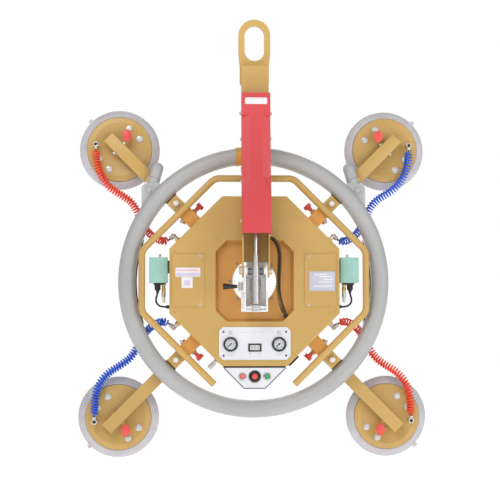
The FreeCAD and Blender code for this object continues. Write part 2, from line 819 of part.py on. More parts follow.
def corner_mount(corner):
    """Sleeve on the body, sliding bar, boss with its bolt and the shoe on the ring."""
    half = sleeve_width / 2
    sleeve = block(diagonal_half, sleeve_end_radius, -half, half, -half, half)
    sleeve = sleeve.cut(block(diagonal_half + 4, sleeve_end_radius + 1, -half + 4, half - 4, -half + 4, half - 4))
    bar = block(diagonal_half + 6, boss_radius_place - boss_half + 2, -half + 4.5, half - 4.5, -half + 4.5, half - 4.5)
    boss = block(boss_radius_place - boss_half, boss_radius_place + boss_half, -half + 6, arm_front_y,
                 -boss_half, boss_half)
    boss = boss.cut(ring_torus(ring_tube_radius))
    washer = rod(vec(boss_radius_place, -half + 3, 0), vec(boss_radius_place, -half + 6, 0), 14.0)
    bolt = hexagon_head(vec(boss_radius_place, -half + 3, 0), vec(0, -1, 0), 19.0, 8.0)
    shoe = block(boss_radius_place, ring_inner + 6, -14, 14, -boss_half, boss_half)
    shoe = shoe.cut(ring_torus(ring_tube_radius))
    arm_piece = fused(bar, boss, washer, bolt, shoe)
    lug = block(star_knob_place - 10, star_knob_place + 10, -8, 8, half, half + 8)
    knob_bore = rod(vec(star_knob_place, 0, half - 6), vec(star_knob_place, 0, half + 9),
                    4.0 + running_clearance)
    lock_nut = hexagon_head(vec(star_knob_place, 0, -half), vec(0, 0, -1), 13.0, 8.0)
    sleeve = fused(sleeve, lug).cut(knob_bore)
    return [at_corner(sleeve, corner), at_corner(arm_piece, corner), at_corner(lock_nut, corner)]


star_knob_place = sleeve_end_radius - 36


def star_knob(corner):
    half = sleeve_width / 2
    stem = rod(vec(star_knob_place, 0, half - 3), vec(star_knob_place, 0, half + 12), 4.0)
    hub = cone(vec(star_knob_place, 0, half + 9), vec(star_knob_place, 0, half + 26), 7.0, 9.5)
    lobes = []
    for step in range(5):
        angle = math.radians(72 * step)
        x = star_knob_place + 9.5 * math.cos(angle)
        y = 9.5 * math.sin(angle)
        lobes.append(rod(vec(x, y, half + 24), vec(x, y, half + 38), 6.0))
    core = rod(vec(star_knob_place, 0, half + 24), vec(star_knob_place, 0, half + 38), 10.0)
    return at_corner(fused(stem, hub, core, *lobes), corner)


# --- arms and cups ---
def arm_bar(inner_radius, outer_radius):
    half = arm_width / 2
    bar = block(inner_radius, outer_radius, arm_front_y, arm_front_y + arm_depth, -half, half)
    inside = half - arm_wall
    return bar.cut(block(inner_radius + arm_wall, outer_radius + 1, arm_front_y + arm_wall,
                         arm_front_y + arm_depth + 1, -inside, inside))


pin_y = arm_front_y + 18.0
cup_pin_radius = 6.0


def cup_pin():
    half = arm_width / 2
    shaft = rod(vec(cup_radial, pin_y, -half - 2), vec(cup_radial, pin_y, half + 2), cup_pin_radius)
    heads = [
        rod(vec(cup_radial, pin_y, -half - 7), vec(cup_radial, pin_y, -half), 8.0),
        rod(vec(cup_radial, pin_y, half), vec(cup_radial, pin_y, half + 7), 8.0),
    ]
    return fused(shaft, *heads)


lower_arm_inner = 382.0


def lower_arm():
    return fused(arm_bar(lower_arm_inner, cup_radial + arm_overrun), cup_pin())


upper_arm_inner = 548.0


def knuckle_point(along):
    lean = math.radians(knuckle_lean)
    return vec(knuckle_x - along * math.sin(lean), knuckle_y, knuckle_z + along * math.cos(lean))


def upper_arm():
    """The right arm with its half of the fold knuckle; the left is its mirror image."""
    bar = turned(fused(arm_bar(upper_arm_inner, cup_radial + arm_overrun), cup_pin()), 45)
    barrel = rod(knuckle_point(body_gap), knuckle_point(knuckle_length), knuckle_radius)
    cap = ball(knuckle_point(knuckle_length), knuckle_radius).cut(
        rod(knuckle_point(-20), knuckle_point(knuckle_length), knuckle_radius + 5))
    root = turned(block(upper_arm_inner - 14, upper_arm_inner + 22, knuckle_y - 8,
                        arm_front_y + arm_depth - 4, -arm_width / 2 + 6, arm_width / 2), 45)
    root = root.cut(turned(block(upper_arm_inner + arm_wall, upper_arm_inner + 40, arm_front_y + arm_wall,
                                 arm_front_y + arm_depth, -arm_width, arm_width), 45))
    below = rod(knuckle_point(-60), knuckle_point(body_gap), 3 * knuckle_radius)
    clear = rod(knuckle_point(-60), knuckle_point(knuckle_length), knuckle_radius + 1)
    root = root.cut(below).cut(clear).fuse(root.cut(below).common(clear))
    bore = rod(knuckle_point(-1), knuckle_point(38), fold_pin_radius + running_clearance)
    return fused(bar, barrel, cap, root).cut(bore)


def hinge_bracket():
    """Gusset on the ring with the fixed half of the fold knuckle and the fold pin."""
    outline = [(414, 236), (414, 350), (402, 362), (356, 368), (328, 352), (352, 300)]
    gusset = plate_xz(outline, knuckle_y - 22, knuckle_y + 8)
    barrel = rod(knuckle_point(-30), knuckle_point(0), knuckle_radius)
    bracket = fused(gusset, barrel)
    bracket = bracket.cut(ring_torus(ring_tube_radius))
    bracket = max(bracket.Solids, key=lambda solid: solid.Volume)
    above = rod(knuckle_point(0), knuckle_point(90), 3 * knuckle_radius)
    bracket = bracket.cut(above)
    pin = rod(knuckle_point(-20), knuckle_point(36), fold_pin_radius)
    bolt = hexagon_head(vec(386, knuckle_y - 22, 338), vec(0, -1, 0), 17.0, 6.0)
    return fused(bracket, pin, bolt)


elbow_radial = 72.0
elbow_tangential = -51.0
valve_radial = 12.0
valve_tangential = 54.0
valve_axis_y = 47.0


def cup_plate():
    """Steel disc with the pivot lug, its bolts, the hose elbow and the valve body."""
    front = cup_plate_front_y
    centre = vec(cup_radial, 0, 0)
    disc = rod(centre + vec(0, front, 0), centre + vec(0, front + cup_plate_thickness, 0), cup_plate_diameter / 2)
    lug = block(cup_radial - 16, cup_radial + 16, pin_y - 10, front, -arm_width / 2 + arm_wall + 1,
                arm_width / 2 - arm_wall - 1)
    pin_hole = rod(vec(cup_radial, pin_y, -40), vec(cup_radial, pin_y, 40), cup_pin_radius + running_clearance)
    whole = fused(disc, lug).cut(pin_hole)
    pieces = [whole]
    for degrees in (70, 108, 252, 290):
        angle = math.radians(degrees)
        place = centre + vec(85 * math.cos(angle), front, 85 * math.sin(angle))
        pieces.append(hexagon_head(place, vec(0, -1, 0), 17.0, 6.5))
    elbow_at = centre + vec(elbow_radial, 0, elbow_tangential)
    elbow = rod(elbow_at + vec(0, front - 34, 0), elbow_at + vec(0, front, 0), 10.0)
    hose_at = elbow_at + vec(0, hose_route[0][1], 0)
    towards_hose = vec(-math.sqrt(0.5), 0, -math.sqrt(0.5))
    hose_gap = cup_offset + (elbow_radial - elbow_tangential * -1) * math.sqrt(0.5) - hose_route[0][2]
    pieces.append(fused(elbow, rod(hose_at, hose_at + towards_hose * hose_gap, 8.0)))
    valve_at = centre + vec(valve_radial, 0, valve_tangential)
    body = rod(valve_at + vec(0, front - 20, 0), valve_at + vec(0, front, 0), 10.0)
    stem = rod(valve_at + vec(0, valve_axis_y - 6, 0), valve_at + vec(0, front - 20, 0), 4.0)
    pieces.append(fused(body, stem))
    return group(pieces)


def cup_seal():
    inner = 108.0
    outer = cup_diameter / 2
    back = cup_plate_front_y + cup_plate_thickness
    outline = [
        (inner, back),
        (cup_plate_diameter / 2 + 5, back),
        (outer - 8, back + 12),
        (outer, cup_lip_y - 4),
        (outer - 1, cup_lip_y),
        (outer - 5, cup_lip_y),
        (outer - 9, cup_lip_y - 5),
        (outer - 24, back + 12),
        (inner, back + 10),
    ]
    wire = Part.makePolygon([vec(r, y, 0) for r, y in outline + outline[:1]])
    ring = Part.Face(wire).revolve(vec(0, 0, 0), vec(0, 1, 0), 360)
    tab = block(outer - 6, outer + 9, back + 13, back + 17, -6, 6)
    tab = tab.cut(rod(vec(0, back, 0), vec(0, back + 30, 0), outer - 6))
    seal = fused(ring, tab)
    seal.translate(vec(cup_radial, 0, 0))
    return seal


def valve_handle():
    at = vec(cup_radial + valve_radial, 0, valve_tangential)
    hub = rod(vec(0, valve_axis_y - 11, 0), vec(0, valve_axis_y + 4, 0), 8.0)
    low = valve_axis_y - 11
    high = valve_axis_y - 5
    wings = [block(-17, 17, low, high, -4.5, 4.5), block(-4.5, 4.5, low, high, -13, 13)]
    for x, z, radius in ((17, 0, 6.0), (-17, 0, 6.0), (0, 13, 4.5), (0, -13, 4.5)):
        wings.append(rod(vec(x, low, z), vec(x, high, z), radius))
    handle = fused(hub, *wings)
    handle = handle.cut(rod(vec(0, valve_axis_y - 6, 0), vec(0, valve_axis_y + 5, 0), 4.0 + running_clearance))
    handle = turned(handle, -45)
    handle.translate(vec(cup_radial + valve_radial, 0, valve_tangential))
    return handle


# --- switches, fittings and what is inside the body ---
switch_low_z = -6.0
switch_high_z = 88.0
switch_inner_x = 317.0
switch_outer_x = 385.0


def pressure_switch():
    """The right switch; the left is its mirror image."""
    case = block(switch_inner_x, switch_outer_x, -34, 6, switch_low_z, switch_high_z)
    foot = block(body_half, switch_inner_x, -24, 0, 20, 66)
    knob = rod(vec(345, -14, switch_high_z), vec(345, -14, switch_high_z + 11), 4.0)
    gland = rod(vec(354, -14, switch_low_z - 24), vec(354, -14, switch_low_z), 9.0)
    port = rod(vec(332, -12, switch_low_z - 32), vec(332, -12, switch_low_z), 6.0)
    filter_cup = rod(vec(332, -12, switch_low_z - 70), vec(332, -12, switch_low_z - 32), 7.0)
    return fused(case, foot, knob, gland, port, filter_cup)


fitting_x = 277.0
fitting_reach = 26.0
fitting_z = diagonal_half * math.sqrt(2) - fitting_x


def hose_fitting(side, up):
    """An elbow on the body's corner that points outwards at a hose."""
    foot = vec(side * fitting_x, -2, up * fitting_z)
    out = vec(side * math.sqrt(0.5), 0, up * math.sqrt(0.5))
    turn = foot + out * fitting_reach
    stem = rod(foot, turn, 8.0)
    knee = ball(turn, 9.0)
    barrel = rod(turn, turn + vec(side * 13, 0, -up * 12), 8.0)
    return fused(stem, knee, barrel)


def body_fittings():
    pieces = []
    for side in (-1, 1):
        for up in (-1, 1):
            pieces.append(hose_fitting(side, up))
        lead_end = vec(side * switch_lead_route[-1][0], switch_lead_route[-1][1], switch_lead_route[-1][2])
        pieces.append(rod(vec(side * body_half, lead_end.y, lead_end.z), lead_end, 6.0))
    out = vec(-math.sqrt(0.5), 0, -math.sqrt(0.5))
    muffler_x = -138.0
    foot = vec(muffler_x, -10, -diagonal_half * math.sqrt(2) - muffler_x)
    pieces.append(fused(rod(foot, foot + out * 12, 6.0), rod(foot + out * 12, foot + out * 40, 9.0)))
    cable_end = vec(*cable_route[-1])
    cable_in = cable_end - vec(*cable_route[-2])
    cable_in.normalize()
    gland = rod(cable_end, cable_end + cable_in * 24, cable_coil_diameter / 2 - 1).cut(index_plate())
    pieces.append(max(gland.Solids, key=lambda solid: solid.CenterOfMass.y * -1))
    return group(pieces)


inside_back = body_back_y


def vacuum_pump():
    """Motor and twin pump head, across the top of the body."""
    motor = rod(vec(-20, -22, 225), vec(95, -22, 225), 38.0)
    head = block(-95, -20, -60, 18, 182, 268)
    foot = block(-95, 95, 14, inside_back, 186, 264)
    return fused(motor, head, foot)


def battery():
    return block(-110, 110, -40, 22, -300, -180)


def reserve_tanks():
    tanks = []
    for side in (-1, 1):
        low = vec(side * 222, -16, -150)
        high = vec(side * 222, -16, 150)
        body = rod(low, high, 34.0).cut(rod(vec(low.x, -16, -147), vec(low.x, -16, 147), 31.0))
        tanks.append(fused(body, block(side * 222 - 30, side * 222 + 30, 14, inside_back, -60, 60)))
    return group(tanks)


def control_board():
    return block(120, 176, -30, -26, 176, 240)


def hatch(side):
    x_low = min(side * hatch_inner_x, side * hatch_outer_x)
    x_high = max(side * hatch_inner_x, side * hatch_outer_x)
    door = block(x_low, x_high, hatch_hinge_y + 0.5, body_front_y - 0.4, hatch_foot_z, hatch_top_z)
    hinge_x = side * (hatch_outer_x + 1.5)
    barrel = rod(vec(hinge_x, hatch_hinge_y, hatch_foot_z + 10), vec(hinge_x, hatch_hinge_y, hatch_top_z - 10), 2.0)
    locks = []
    lock_x = side * (hatch_inner_x + 15)
    for z in (hatch_foot_z + 8, hatch_top_z - 8):
        locks.append(rod(vec(lock_x, hatch_hinge_y - 0.6, z), vec(lock_x, hatch_hinge_y + 1, z), 3.0))
    return fused(door, barrel, *locks)


# --- hoses and cables that hang free ---
hose_route = [
    (587, 52, 497),
    (587, 52, 464),
    (579, 52, 424),
    (560, 53, 381),
    (527, 55, 346),
    (487, 57, 323),
    (451, 59, 297),
    (428, 59, 257),
    (411, 54, 213),
    (386, 38, 177),
    (354, 15, 156),
    (328, 2, 147),
    (311, -2, 155),
]

# the lower pair hangs a little higher than a mirror image of the upper pair
lower_hose_route = [
    (587, 52, 497),
    (587, 52, 462),
    (584, 52, 418),
    (568, 53, 370),
    (535, 55, 333),
    (494, 57, 309),
    (457, 59, 283),
    (432, 59, 245),
    (413, 54, 203),
    (387, 38, 171),
    (355, 15, 150),
    (328, 2, 145),
    (311, -2, 155),
]

cable_route = [
    (55, -94, 160),
    (69, -94, 149),
    (82, -95, 132),
    (89, -96, 104),
    (90, -95, 68),
    (87, -94, 30),
    (85, -91, -8),
    (86, -87, -44),
    (92, -81, -75),
    (101, -73, -101),
    (111, -62, -122),
]

switch_lead_route = [
    (354, -14, -30),
    (354, -14, -46),
    (360, -14, -62),
    (359, -14, -77),
    (350, -14, -88),
    (337, -14, -93),
    (322, -14, -93),
]


def hose(corner):
    side = 1 if corner.endswith("right") else -1
    up = 1 if corner.startswith("upper") else -1
    route = hose_route if up > 0 else lower_hose_route
    points = [vec(side * x, y, up * z) for x, y, z in route]
    return routed_tube("hose_" + corner, points, hose_coil_diameter / 2)


def coil_cable():
    return routed_tube("coil_cable", [vec(x, y, z) for x, y, z in cable_route], cable_coil_diameter / 2)


def switch_leads():
    leads = []
    for side in (-1, 1):
        points = [vec(side * x, y, z) for x, y, z in switch_lead_route]
        leads.append(routed_tube("switch_lead", points, switch_lead_diameter / 2))
    return group(leads)


# --- every node of the model ---
nodes["lifting_eye"] = lifting_eye()
nodes["arm_channel"] = arm_channel()
nodes["arm_cover"] = arm_cover()
nodes["arm_pins"] = arm_pins()
nodes["strut_rod"] = strut_rod()
nodes["strut_cylinder"] = strut_cylinder()
nodes["yoke"] = yoke()
nodes["slew_hub"] = slew_hub()
nodes["index_lever"] = index_lever()
nodes["lever_grip"] = lever_grip()
nodes["index_pin"] = index_pin()
nodes["front_cover"] = front_cover()
nodes["rear_casing"] = rear_casing()
nodes["index_plate"] = index_plate()
nodes["slew_ring"] = slew_ring()
nodes["control_panel"] = control_panel()
nodes["panel_instruments"] = panel_instruments()
nodes["control_box"] = control_box()
nodes["handle_tube"] = handle_tube()
nodes["ring_frame"] = ring_frame()
nodes["corner_mounts"] = group([piece for corner in corners for piece in corner_mount(corner)] + [ring_bracket()])
nodes["lower_arms"] = group([at_corner(lower_arm(), "lower_left"), at_corner(lower_arm(), "lower_right")])
nodes["hinge_brackets"] = group([hinge_bracket(), mirrored(hinge_bracket())])
nodes["pressure_switches"] = group([pressure_switch(), mirrored(pressure_switch())])
nodes["body_fittings"] = body_fittings()
nodes["vacuum_pump"] = vacuum_pump()
nodes["battery"] = battery()
nodes["reserve_tanks"] = reserve_tanks()
nodes["control_board"] = control_board()
nodes["hatch_left"] = hatch(-1)
nodes["hatch_right"] = hatch(1)
nodes["off_button"] = push_button(-button_x)
nodes["on_button"] = push_button(button_x)
nodes["stop_button"] = stop_button()
nodes["needle_left"] = gauge_needle(-1)
nodes["needle_right"] = gauge_needle(1)
nodes["upper_arm_right"] = upper_arm()
nodes["upper_arm_left"] = mirrored(upper_arm())
for corner in corners:
    nodes["star_knob_" + corner] = star_knob(corner)
    nodes["cup_plate_" + corner] = at_corner(cup_plate(), corner)
    nodes["cup_seal_" + corner] = at_corner(cup_seal(), corner)
    nodes["valve_handle_" + corner] = at_corner(valve_handle(), corner)
    nodes["hose_" + corner] = hose(corner)
nodes["coil_cable"] = coil_cable()
nodes["switch_leads"] = switch_leads()

os.makedirs("parts", exist_ok=True)
for name, shape in nodes.items():
    shape.translate(origin * -1)
    shape.exportStep("parts/" + name + ".step")
    print(name, "solids", len(shape.Solids), "valid", shape.isValid(), "volume %.0f" % shape.Volume)
print(len(nodes), "nodes")
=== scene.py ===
import json
import math

import bmesh
import bpy
from mathutils import Matrix, Vector


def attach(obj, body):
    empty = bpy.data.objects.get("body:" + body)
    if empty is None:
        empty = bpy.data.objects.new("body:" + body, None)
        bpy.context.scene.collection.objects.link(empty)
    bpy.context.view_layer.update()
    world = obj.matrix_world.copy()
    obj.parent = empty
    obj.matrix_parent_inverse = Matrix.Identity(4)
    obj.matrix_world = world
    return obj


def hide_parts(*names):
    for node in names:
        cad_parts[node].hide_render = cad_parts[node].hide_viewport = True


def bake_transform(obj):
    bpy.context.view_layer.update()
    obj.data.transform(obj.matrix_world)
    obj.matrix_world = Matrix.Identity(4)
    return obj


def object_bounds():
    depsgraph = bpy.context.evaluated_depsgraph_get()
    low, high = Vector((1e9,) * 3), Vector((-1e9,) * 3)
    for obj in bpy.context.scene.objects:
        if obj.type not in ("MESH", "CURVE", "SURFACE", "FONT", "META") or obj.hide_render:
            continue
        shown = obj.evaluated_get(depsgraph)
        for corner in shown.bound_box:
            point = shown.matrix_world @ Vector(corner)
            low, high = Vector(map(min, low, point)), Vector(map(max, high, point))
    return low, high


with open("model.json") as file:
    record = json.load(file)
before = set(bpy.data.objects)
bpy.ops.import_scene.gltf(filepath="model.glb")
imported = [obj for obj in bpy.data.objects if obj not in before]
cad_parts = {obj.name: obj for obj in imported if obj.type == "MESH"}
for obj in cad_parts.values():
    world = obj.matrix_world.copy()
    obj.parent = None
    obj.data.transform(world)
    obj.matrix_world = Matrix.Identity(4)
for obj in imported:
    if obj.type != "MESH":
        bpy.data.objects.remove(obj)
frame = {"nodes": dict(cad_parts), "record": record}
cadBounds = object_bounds()
print("frame loaded")

# Sizes below are millimetres from the middle of the hub: X right, Y towards the cups, Z up.
# The row frame's origin is the crown of the lifting eye.
hubPlace = Vector((0.0, 0.060, -0.940))
halfRoot = math.sqrt(0.5)
corners = ("upper_right", "upper_left", "lower_left", "lower_right")
rightFirst = (("Right", 1), ("Left", -1))
leftFirst = (("Left", -1), ("Right", 1))
cupRadial = 500.0 * math.sqrt(2)


def hub(x, y, z):
    return Vector((x, y, z)) / 1000 + hubPlace


def signsOf(corner):
    # +1 or -1 for right or left, then for upper or lower
    return (1 if corner.endswith("right") else -1), (1 if corner.startswith("upper") else -1)


def mirrored(side, rise):
    # a piece made for the upper right, turned over to another corner
    return Matrix.Translation(hubPlace) @ Matrix.Diagonal((side, 1, rise, 1))


def cornerMatrix(corner):
    # local X runs outwards along the arm, local Z lies across it towards the upright centre line
    side, rise = signsOf(corner)
    return Matrix((
        (side * halfRoot, 0, -side * halfRoot, hubPlace.x),
        (0, 1, 0, hubPlace.y),
        (rise * halfRoot, 0, rise * halfRoot, hubPlace.z),
        (0, 0, 0, 1),
    ))


hubMatrix = Matrix.Translation(hubPlace)


# finishes

def newMaterial(name, colour, roughness, metallic=0.0):
    material = bpy.data.materials.new(name)
    material.use_nodes = True
    shader = material.node_tree.nodes["Principled BSDF"]
    shader.inputs["Base Color"].default_value = (*colour, 1)
    shader.inputs["Roughness"].default_value = roughness
    shader.inputs["Metallic"].default_value = metallic
    return material, material.node_tree, shader


def addNode(tree, kind, **settings):
    node = tree.nodes.new(kind)
    for name, value in settings.items():
        if name in node.inputs:
            node.inputs[name].default_value = value
        else:
            setattr(node, name, value)
    return node


def noiseOn(tree, scale, detail=3.0, stretch=(1, 1, 1)):
    place = addNode(tree, "ShaderNodeTexCoord")
    mapping = addNode(tree, "ShaderNodeMapping", Scale=stretch)
    noise = addNode(tree, "ShaderNodeTexNoise", Scale=scale, Detail=detail)
    tree.links.new(place.outputs["Object"], mapping.inputs["Vector"])
    tree.links.new(mapping.outputs["Vector"], noise.inputs["Vector"])
    return noise


def ramp(tree, source, low, high, colourLow, colourHigh):
    node = tree.nodes.new("ShaderNodeValToRGB")
    node.color_ramp.elements[0].position = low
    node.color_ramp.elements[1].position = high
    node.color_ramp.elements[0].color = (*colourLow, 1)
    node.color_ramp.elements[1].color = (*colourHigh, 1)
    tree.links.new(source, node.inputs["Fac"])
    return node


def shade(colour, factor):
    return tuple(min(1.0, c * factor) for c in colour)


def addSurface(tree, shader, texture, strength, distance, rounding=0.0):
    bump = addNode(tree, "ShaderNodeBump", Strength=strength, Distance=distance)
    tree.links.new(texture, bump.inputs["Height"])
    if rounding:
        bevel = addNode(tree, "ShaderNodeBevel", Radius=rounding, samples=4)
        tree.links.new(bevel.outputs["Normal"], bump.inputs["Normal"])
    tree.links.new(bump.outputs["Normal"], shader.inputs["Normal"])


def paint(name, colour, roughness=0.42, rounding=0.0012, coat=0.12):
    # powder coat: a fine orange peel, slow shade changes and a rubbed lighter edge
    material, tree, shader = newMaterial(name, colour, roughness)
    slow = noiseOn(tree, 5.0, 4.0)
    tone = ramp(tree, slow.outputs["Fac"], 0.3, 0.7, shade(colour, 0.94), shade(colour, 1.05))
    edge = addNode(tree, "ShaderNodeNewGeometry")
    edgeMask = ramp(tree, edge.outputs["Pointiness"], 0.53, 0.60, (0, 0, 0), (0.35, 0.35, 0.35))
    rubbed = addNode(tree, "ShaderNodeMix", data_type="RGBA")
    tree.links.new(edgeMask.outputs["Color"], rubbed.inputs[0])
    tree.links.new(tone.outputs["Color"], rubbed.inputs[6])
    rubbed.inputs[7].default_value = (*shade(colour, 1.25), 1)
    tree.links.new(rubbed.outputs[2], shader.inputs["Base Color"])
    dull = ramp(tree, slow.outputs["Fac"], 0.25, 0.75, (roughness - 0.05,) * 3, (roughness + 0.07,) * 3)
    tree.links.new(dull.outputs["Color"], shader.inputs["Roughness"])
    peel = noiseOn(tree, 420.0, 2.0)
    addSurface(tree, shader, peel.outputs["Fac"], 0.10, 0.0004, rounding)
    shader.inputs["Coat Weight"].default_value = coat
    shader.inputs["Coat Roughness"].default_value = 0.25
    return material


def galvanised(name, colour=(0.84, 0.84, 0.84)):
    # zinc crystals: flat cells of slightly different grey and gloss
    material, tree, shader = newMaterial(name, colour, 0.42, 0.12)
    place = addNode(tree, "ShaderNodeTexCoord")
    cells = addNode(tree, "ShaderNodeTexVoronoi", Scale=130.0)
    tree.links.new(place.outputs["Object"], cells.inputs["Vector"])
    cellGrey = addNode(tree, "ShaderNodeRGBToBW")
    tree.links.new(cells.outputs["Color"], cellGrey.inputs["Color"])
    tone = ramp(tree, cellGrey.outputs["Val"], 0.1, 0.9, shade(colour, 0.86), shade(colour, 1.12))
    gloss = ramp(tree, cellGrey.outputs["Val"], 0.1, 0.9, (0.48,) * 3, (0.30,) * 3)
    tree.links.new(tone.outputs["Color"], shader.inputs["Base Color"])
    tree.links.new(gloss.outputs["Color"], shader.inputs["Roughness"])
    streaks = noiseOn(tree, 90.0, 3.0)
    addSurface(tree, shader, streaks.outputs["Fac"], 0.12, 0.0004, 0.0008)
    return material


def metal(name, colour, roughness, stretch=(1, 1, 1), scale=160.0, depth=0.15, rounding=0.0006):
    material, tree, shader = newMaterial(name, colour, roughness, 1.0)
    grain = noiseOn(tree, scale, 4.0, stretch)
    tone = ramp(tree, grain.outputs["Fac"], 0.3, 0.7, shade(colour, 0.86), shade(colour, 1.08))
    gloss = ramp(tree, grain.outputs["Fac"], 0.3, 0.7, (roughness + 0.08,) * 3, (max(0.05, roughness - 0.06),) * 3)
    tree.links.new(tone.outputs["Color"], shader.inputs["Base Color"])
    tree.links.new(gloss.outputs["Color"], shader.inputs["Roughness"])
    addSurface(tree, shader, grain.outputs["Fac"], depth, 0.0003, rounding)
    return material


def plastic(name, colour, roughness=0.35, scale=900.0, depth=0.08, rounding=0.0006):
    # moulded: a spark-eroded grain and a little flow shading
    material, tree, shader = newMaterial(name, colour, roughness)
    slow = noiseOn(tree, 18.0, 3.0)
    tone = ramp(tree, slow.outputs["Fac"], 0.3, 0.7, shade(colour, 0.93), shade(colour, 1.07))
    tree.links.new(tone.outputs["Color"], shader.inputs["Base Color"])
    grain = noiseOn(tree, scale, 2.0)
    addSurface(tree, shader, grain.outputs["Fac"], depth, 0.0002, rounding)
    return material


def softRubber(name, colour, roughness=0.5, glow=0.12):
    # cast rubber: bloom in slow patches, a fine matt grain and light that soaks in
    material, tree, shader = newMaterial(name, colour, roughness)
    bloom = noiseOn(tree, 22.0, 5.0)
    tone = ramp(tree, bloom.outputs["Fac"], 0.3, 0.75, shade(colour, 0.9), shade(colour, 1.06))
    tree.links.new(tone.outputs["Color"], shader.inputs["Base Color"])
    grain = noiseOn(tree, 700.0, 2.0)
    addSurface(tree, shader, grain.outputs["Fac"], 0.12, 0.0003)
    shader.inputs["Subsurface Weight"].default_value = glow
    shader.inputs["Subsurface Radius"].default_value = (0.006, 0.005, 0.005)
    return material


finishes = {
    "yellow_paint": paint("yellowPaint", (0.505, 0.315, 0.090)),
    "tan_paint": paint("tanPaint", (0.56, 0.275, 0.06)),
    "red_paint": paint("redPaint", (0.55, 0.042, 0.048), roughness=0.38, coat=0.3),
    "grey_paint": paint("greyPaint", (0.385, 0.385, 0.385), roughness=0.46),
    "panel_paint": paint("panelPaint", (0.63, 0.63, 0.66), roughness=0.42),
    "galvanised_steel": galvanised("zincSpangle"),
    "zinc_steel": metal("zincPlate", (0.60, 0.59, 0.57), 0.42),
    "polished_rod": metal("groundRod", (0.80, 0.79, 0.80), 0.24, (1, 1, 12), 60.0, 0.04),
    "cast_aluminium": metal("castAluminium", (0.62, 0.63, 0.64), 0.45, scale=320.0, depth=0.3),
    "nickel_brass": metal("nickelBrass", (0.66, 0.62, 0.54), 0.25),
    "teal_plastic": plastic("tealPlastic", (0.30, 0.53, 0.46), 0.32),
    "black_plastic": plastic("blackPlastic", (0.010, 0.010, 0.011), 0.45),
    "red_plastic": plastic("redPlastic", (0.68, 0.075, 0.06), 0.32),
    "green_plastic": plastic("greenPlastic", (0.035, 0.28, 0.12), 0.3),
    "grey_rubber": softRubber("greyRubber", (0.50, 0.48, 0.50)),
    "red_hose": plastic("redHose", (0.80, 0.055, 0.015), 0.22, 300.0, 0.03, 0),
    "blue_hose": plastic("blueHose", (0.015, 0.10, 0.62), 0.22, 300.0, 0.03, 0),
    "black_rubber": softRubber("blackRubber", (0.010, 0.010, 0.011), 0.5, 0.0),
}
orangePaint = paint("orangePaint", (0.66, 0.30, 0.05))

nodeSlots = {part["node"]: part["material_slot"] for part in frame["record"]["subparts"]}
for node, slotName in nodeSlots.items():
    cadObject = frame["nodes"][node]
    cadObject.data.materials.clear()
    cadObject.data.materials.append(finishes[slotName])
print("finishes ready")


# making pieces

def newPiece(name, mesh, slotName, body="carrier", matrix=hubMatrix, finish=None, smooth=40, bevel=0.0, nodes=()):
    # mesh is a bmesh in metres in the piece's own place; matrix takes it to the row frame
    bmesh.ops.remove_doubles(mesh, verts=mesh.verts, dist=1e-6)
    if matrix is not None:
        bmesh.ops.transform(mesh, matrix=matrix, verts=mesh.verts)
    bmesh.ops.recalc_face_normals(mesh, faces=mesh.faces)
    data = bpy.data.meshes.new(name)
    mesh.to_mesh(data)
    mesh.free()
    piece = bpy.data.objects.new(name, data)
    bpy.context.scene.collection.objects.link(piece)
    data.materials.append(finish or finishes[slotName])
    if bevel:
        edges = piece.modifiers.new("edges", "BEVEL")
        edges.width = bevel
        edges.segments = 2
        edges.limit_method = "ANGLE"
        edges.angle_limit = math.radians(35)
        edges.harden_normals = False
        applyModifiers(piece)
    for face in piece.data.polygons:
        face.use_smooth = True
    if smooth < 180:
        piece.data.set_sharp_from_angle(angle=math.radians(smooth))
    if body:
        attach(piece, body)
    if nodes:
        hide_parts(*nodes)
    return piece


def applyModifiers(piece):
    graph = bpy.context.evaluated_depsgraph_get()
    graph.update()
    made = bpy.data.meshes.new_from_object(piece.evaluated_get(graph))
    old = piece.data
    piece.modifiers.clear()
    piece.data = made
    bpy.data.meshes.remove(old)


def facing(place, direction):
    # a matrix whose Z axis points along direction, at place in millimetres from the hub
    turn = Vector(direction).normalized().to_track_quat("Z", "Y").to_matrix().to_4x4()
    return Matrix.Translation(Vector(place) / 1000) @ turn


def spun(profile, steps=48, mesh=None, matrix=None):
    # turns a list of (radius, height) in millimetres about Z
    mesh = mesh or bmesh.new()
    rings = []
    for radius, height in profile:
        if radius < 1e-6:
            rings.append([mesh.verts.new((0, 0, height / 1000))])
            continue
        ring = []
        for step in range(steps):
            angle = math.tau * step / steps
            ring.append(mesh.verts.new((radius * math.cos(angle) / 1000, radius * math.sin(angle) / 1000,
                                        height / 1000)))
        rings.append(ring)
    made = [v for ring in rings for v in ring]
    for low, high in zip(rings, rings[1:]):
        for step in range(steps):
            after = (step + 1) % steps
            if len(low) == 1 and len(high) == 1:
                break
            if len(low) == 1:
                mesh.faces.new((low[0], high[step], high[after]))
            elif len(high) == 1:
                mesh.faces.new((low[step], low[after], high[0]))
            else:
                mesh.faces.new((low[step], low[after], high[after], high[step]))
    if matrix is not None:
        bmesh.ops.transform(mesh, matrix=matrix, verts=made)
    return mesh


def skin(mesh, rows):
    # joins each ring of points to the next
    for low, high in zip(rows, rows[1:]):
        for i in range(len(low)):
            j = (i + 1) % len(low)
            mesh.faces.new((low[i], low[j], high[j], high[i]))


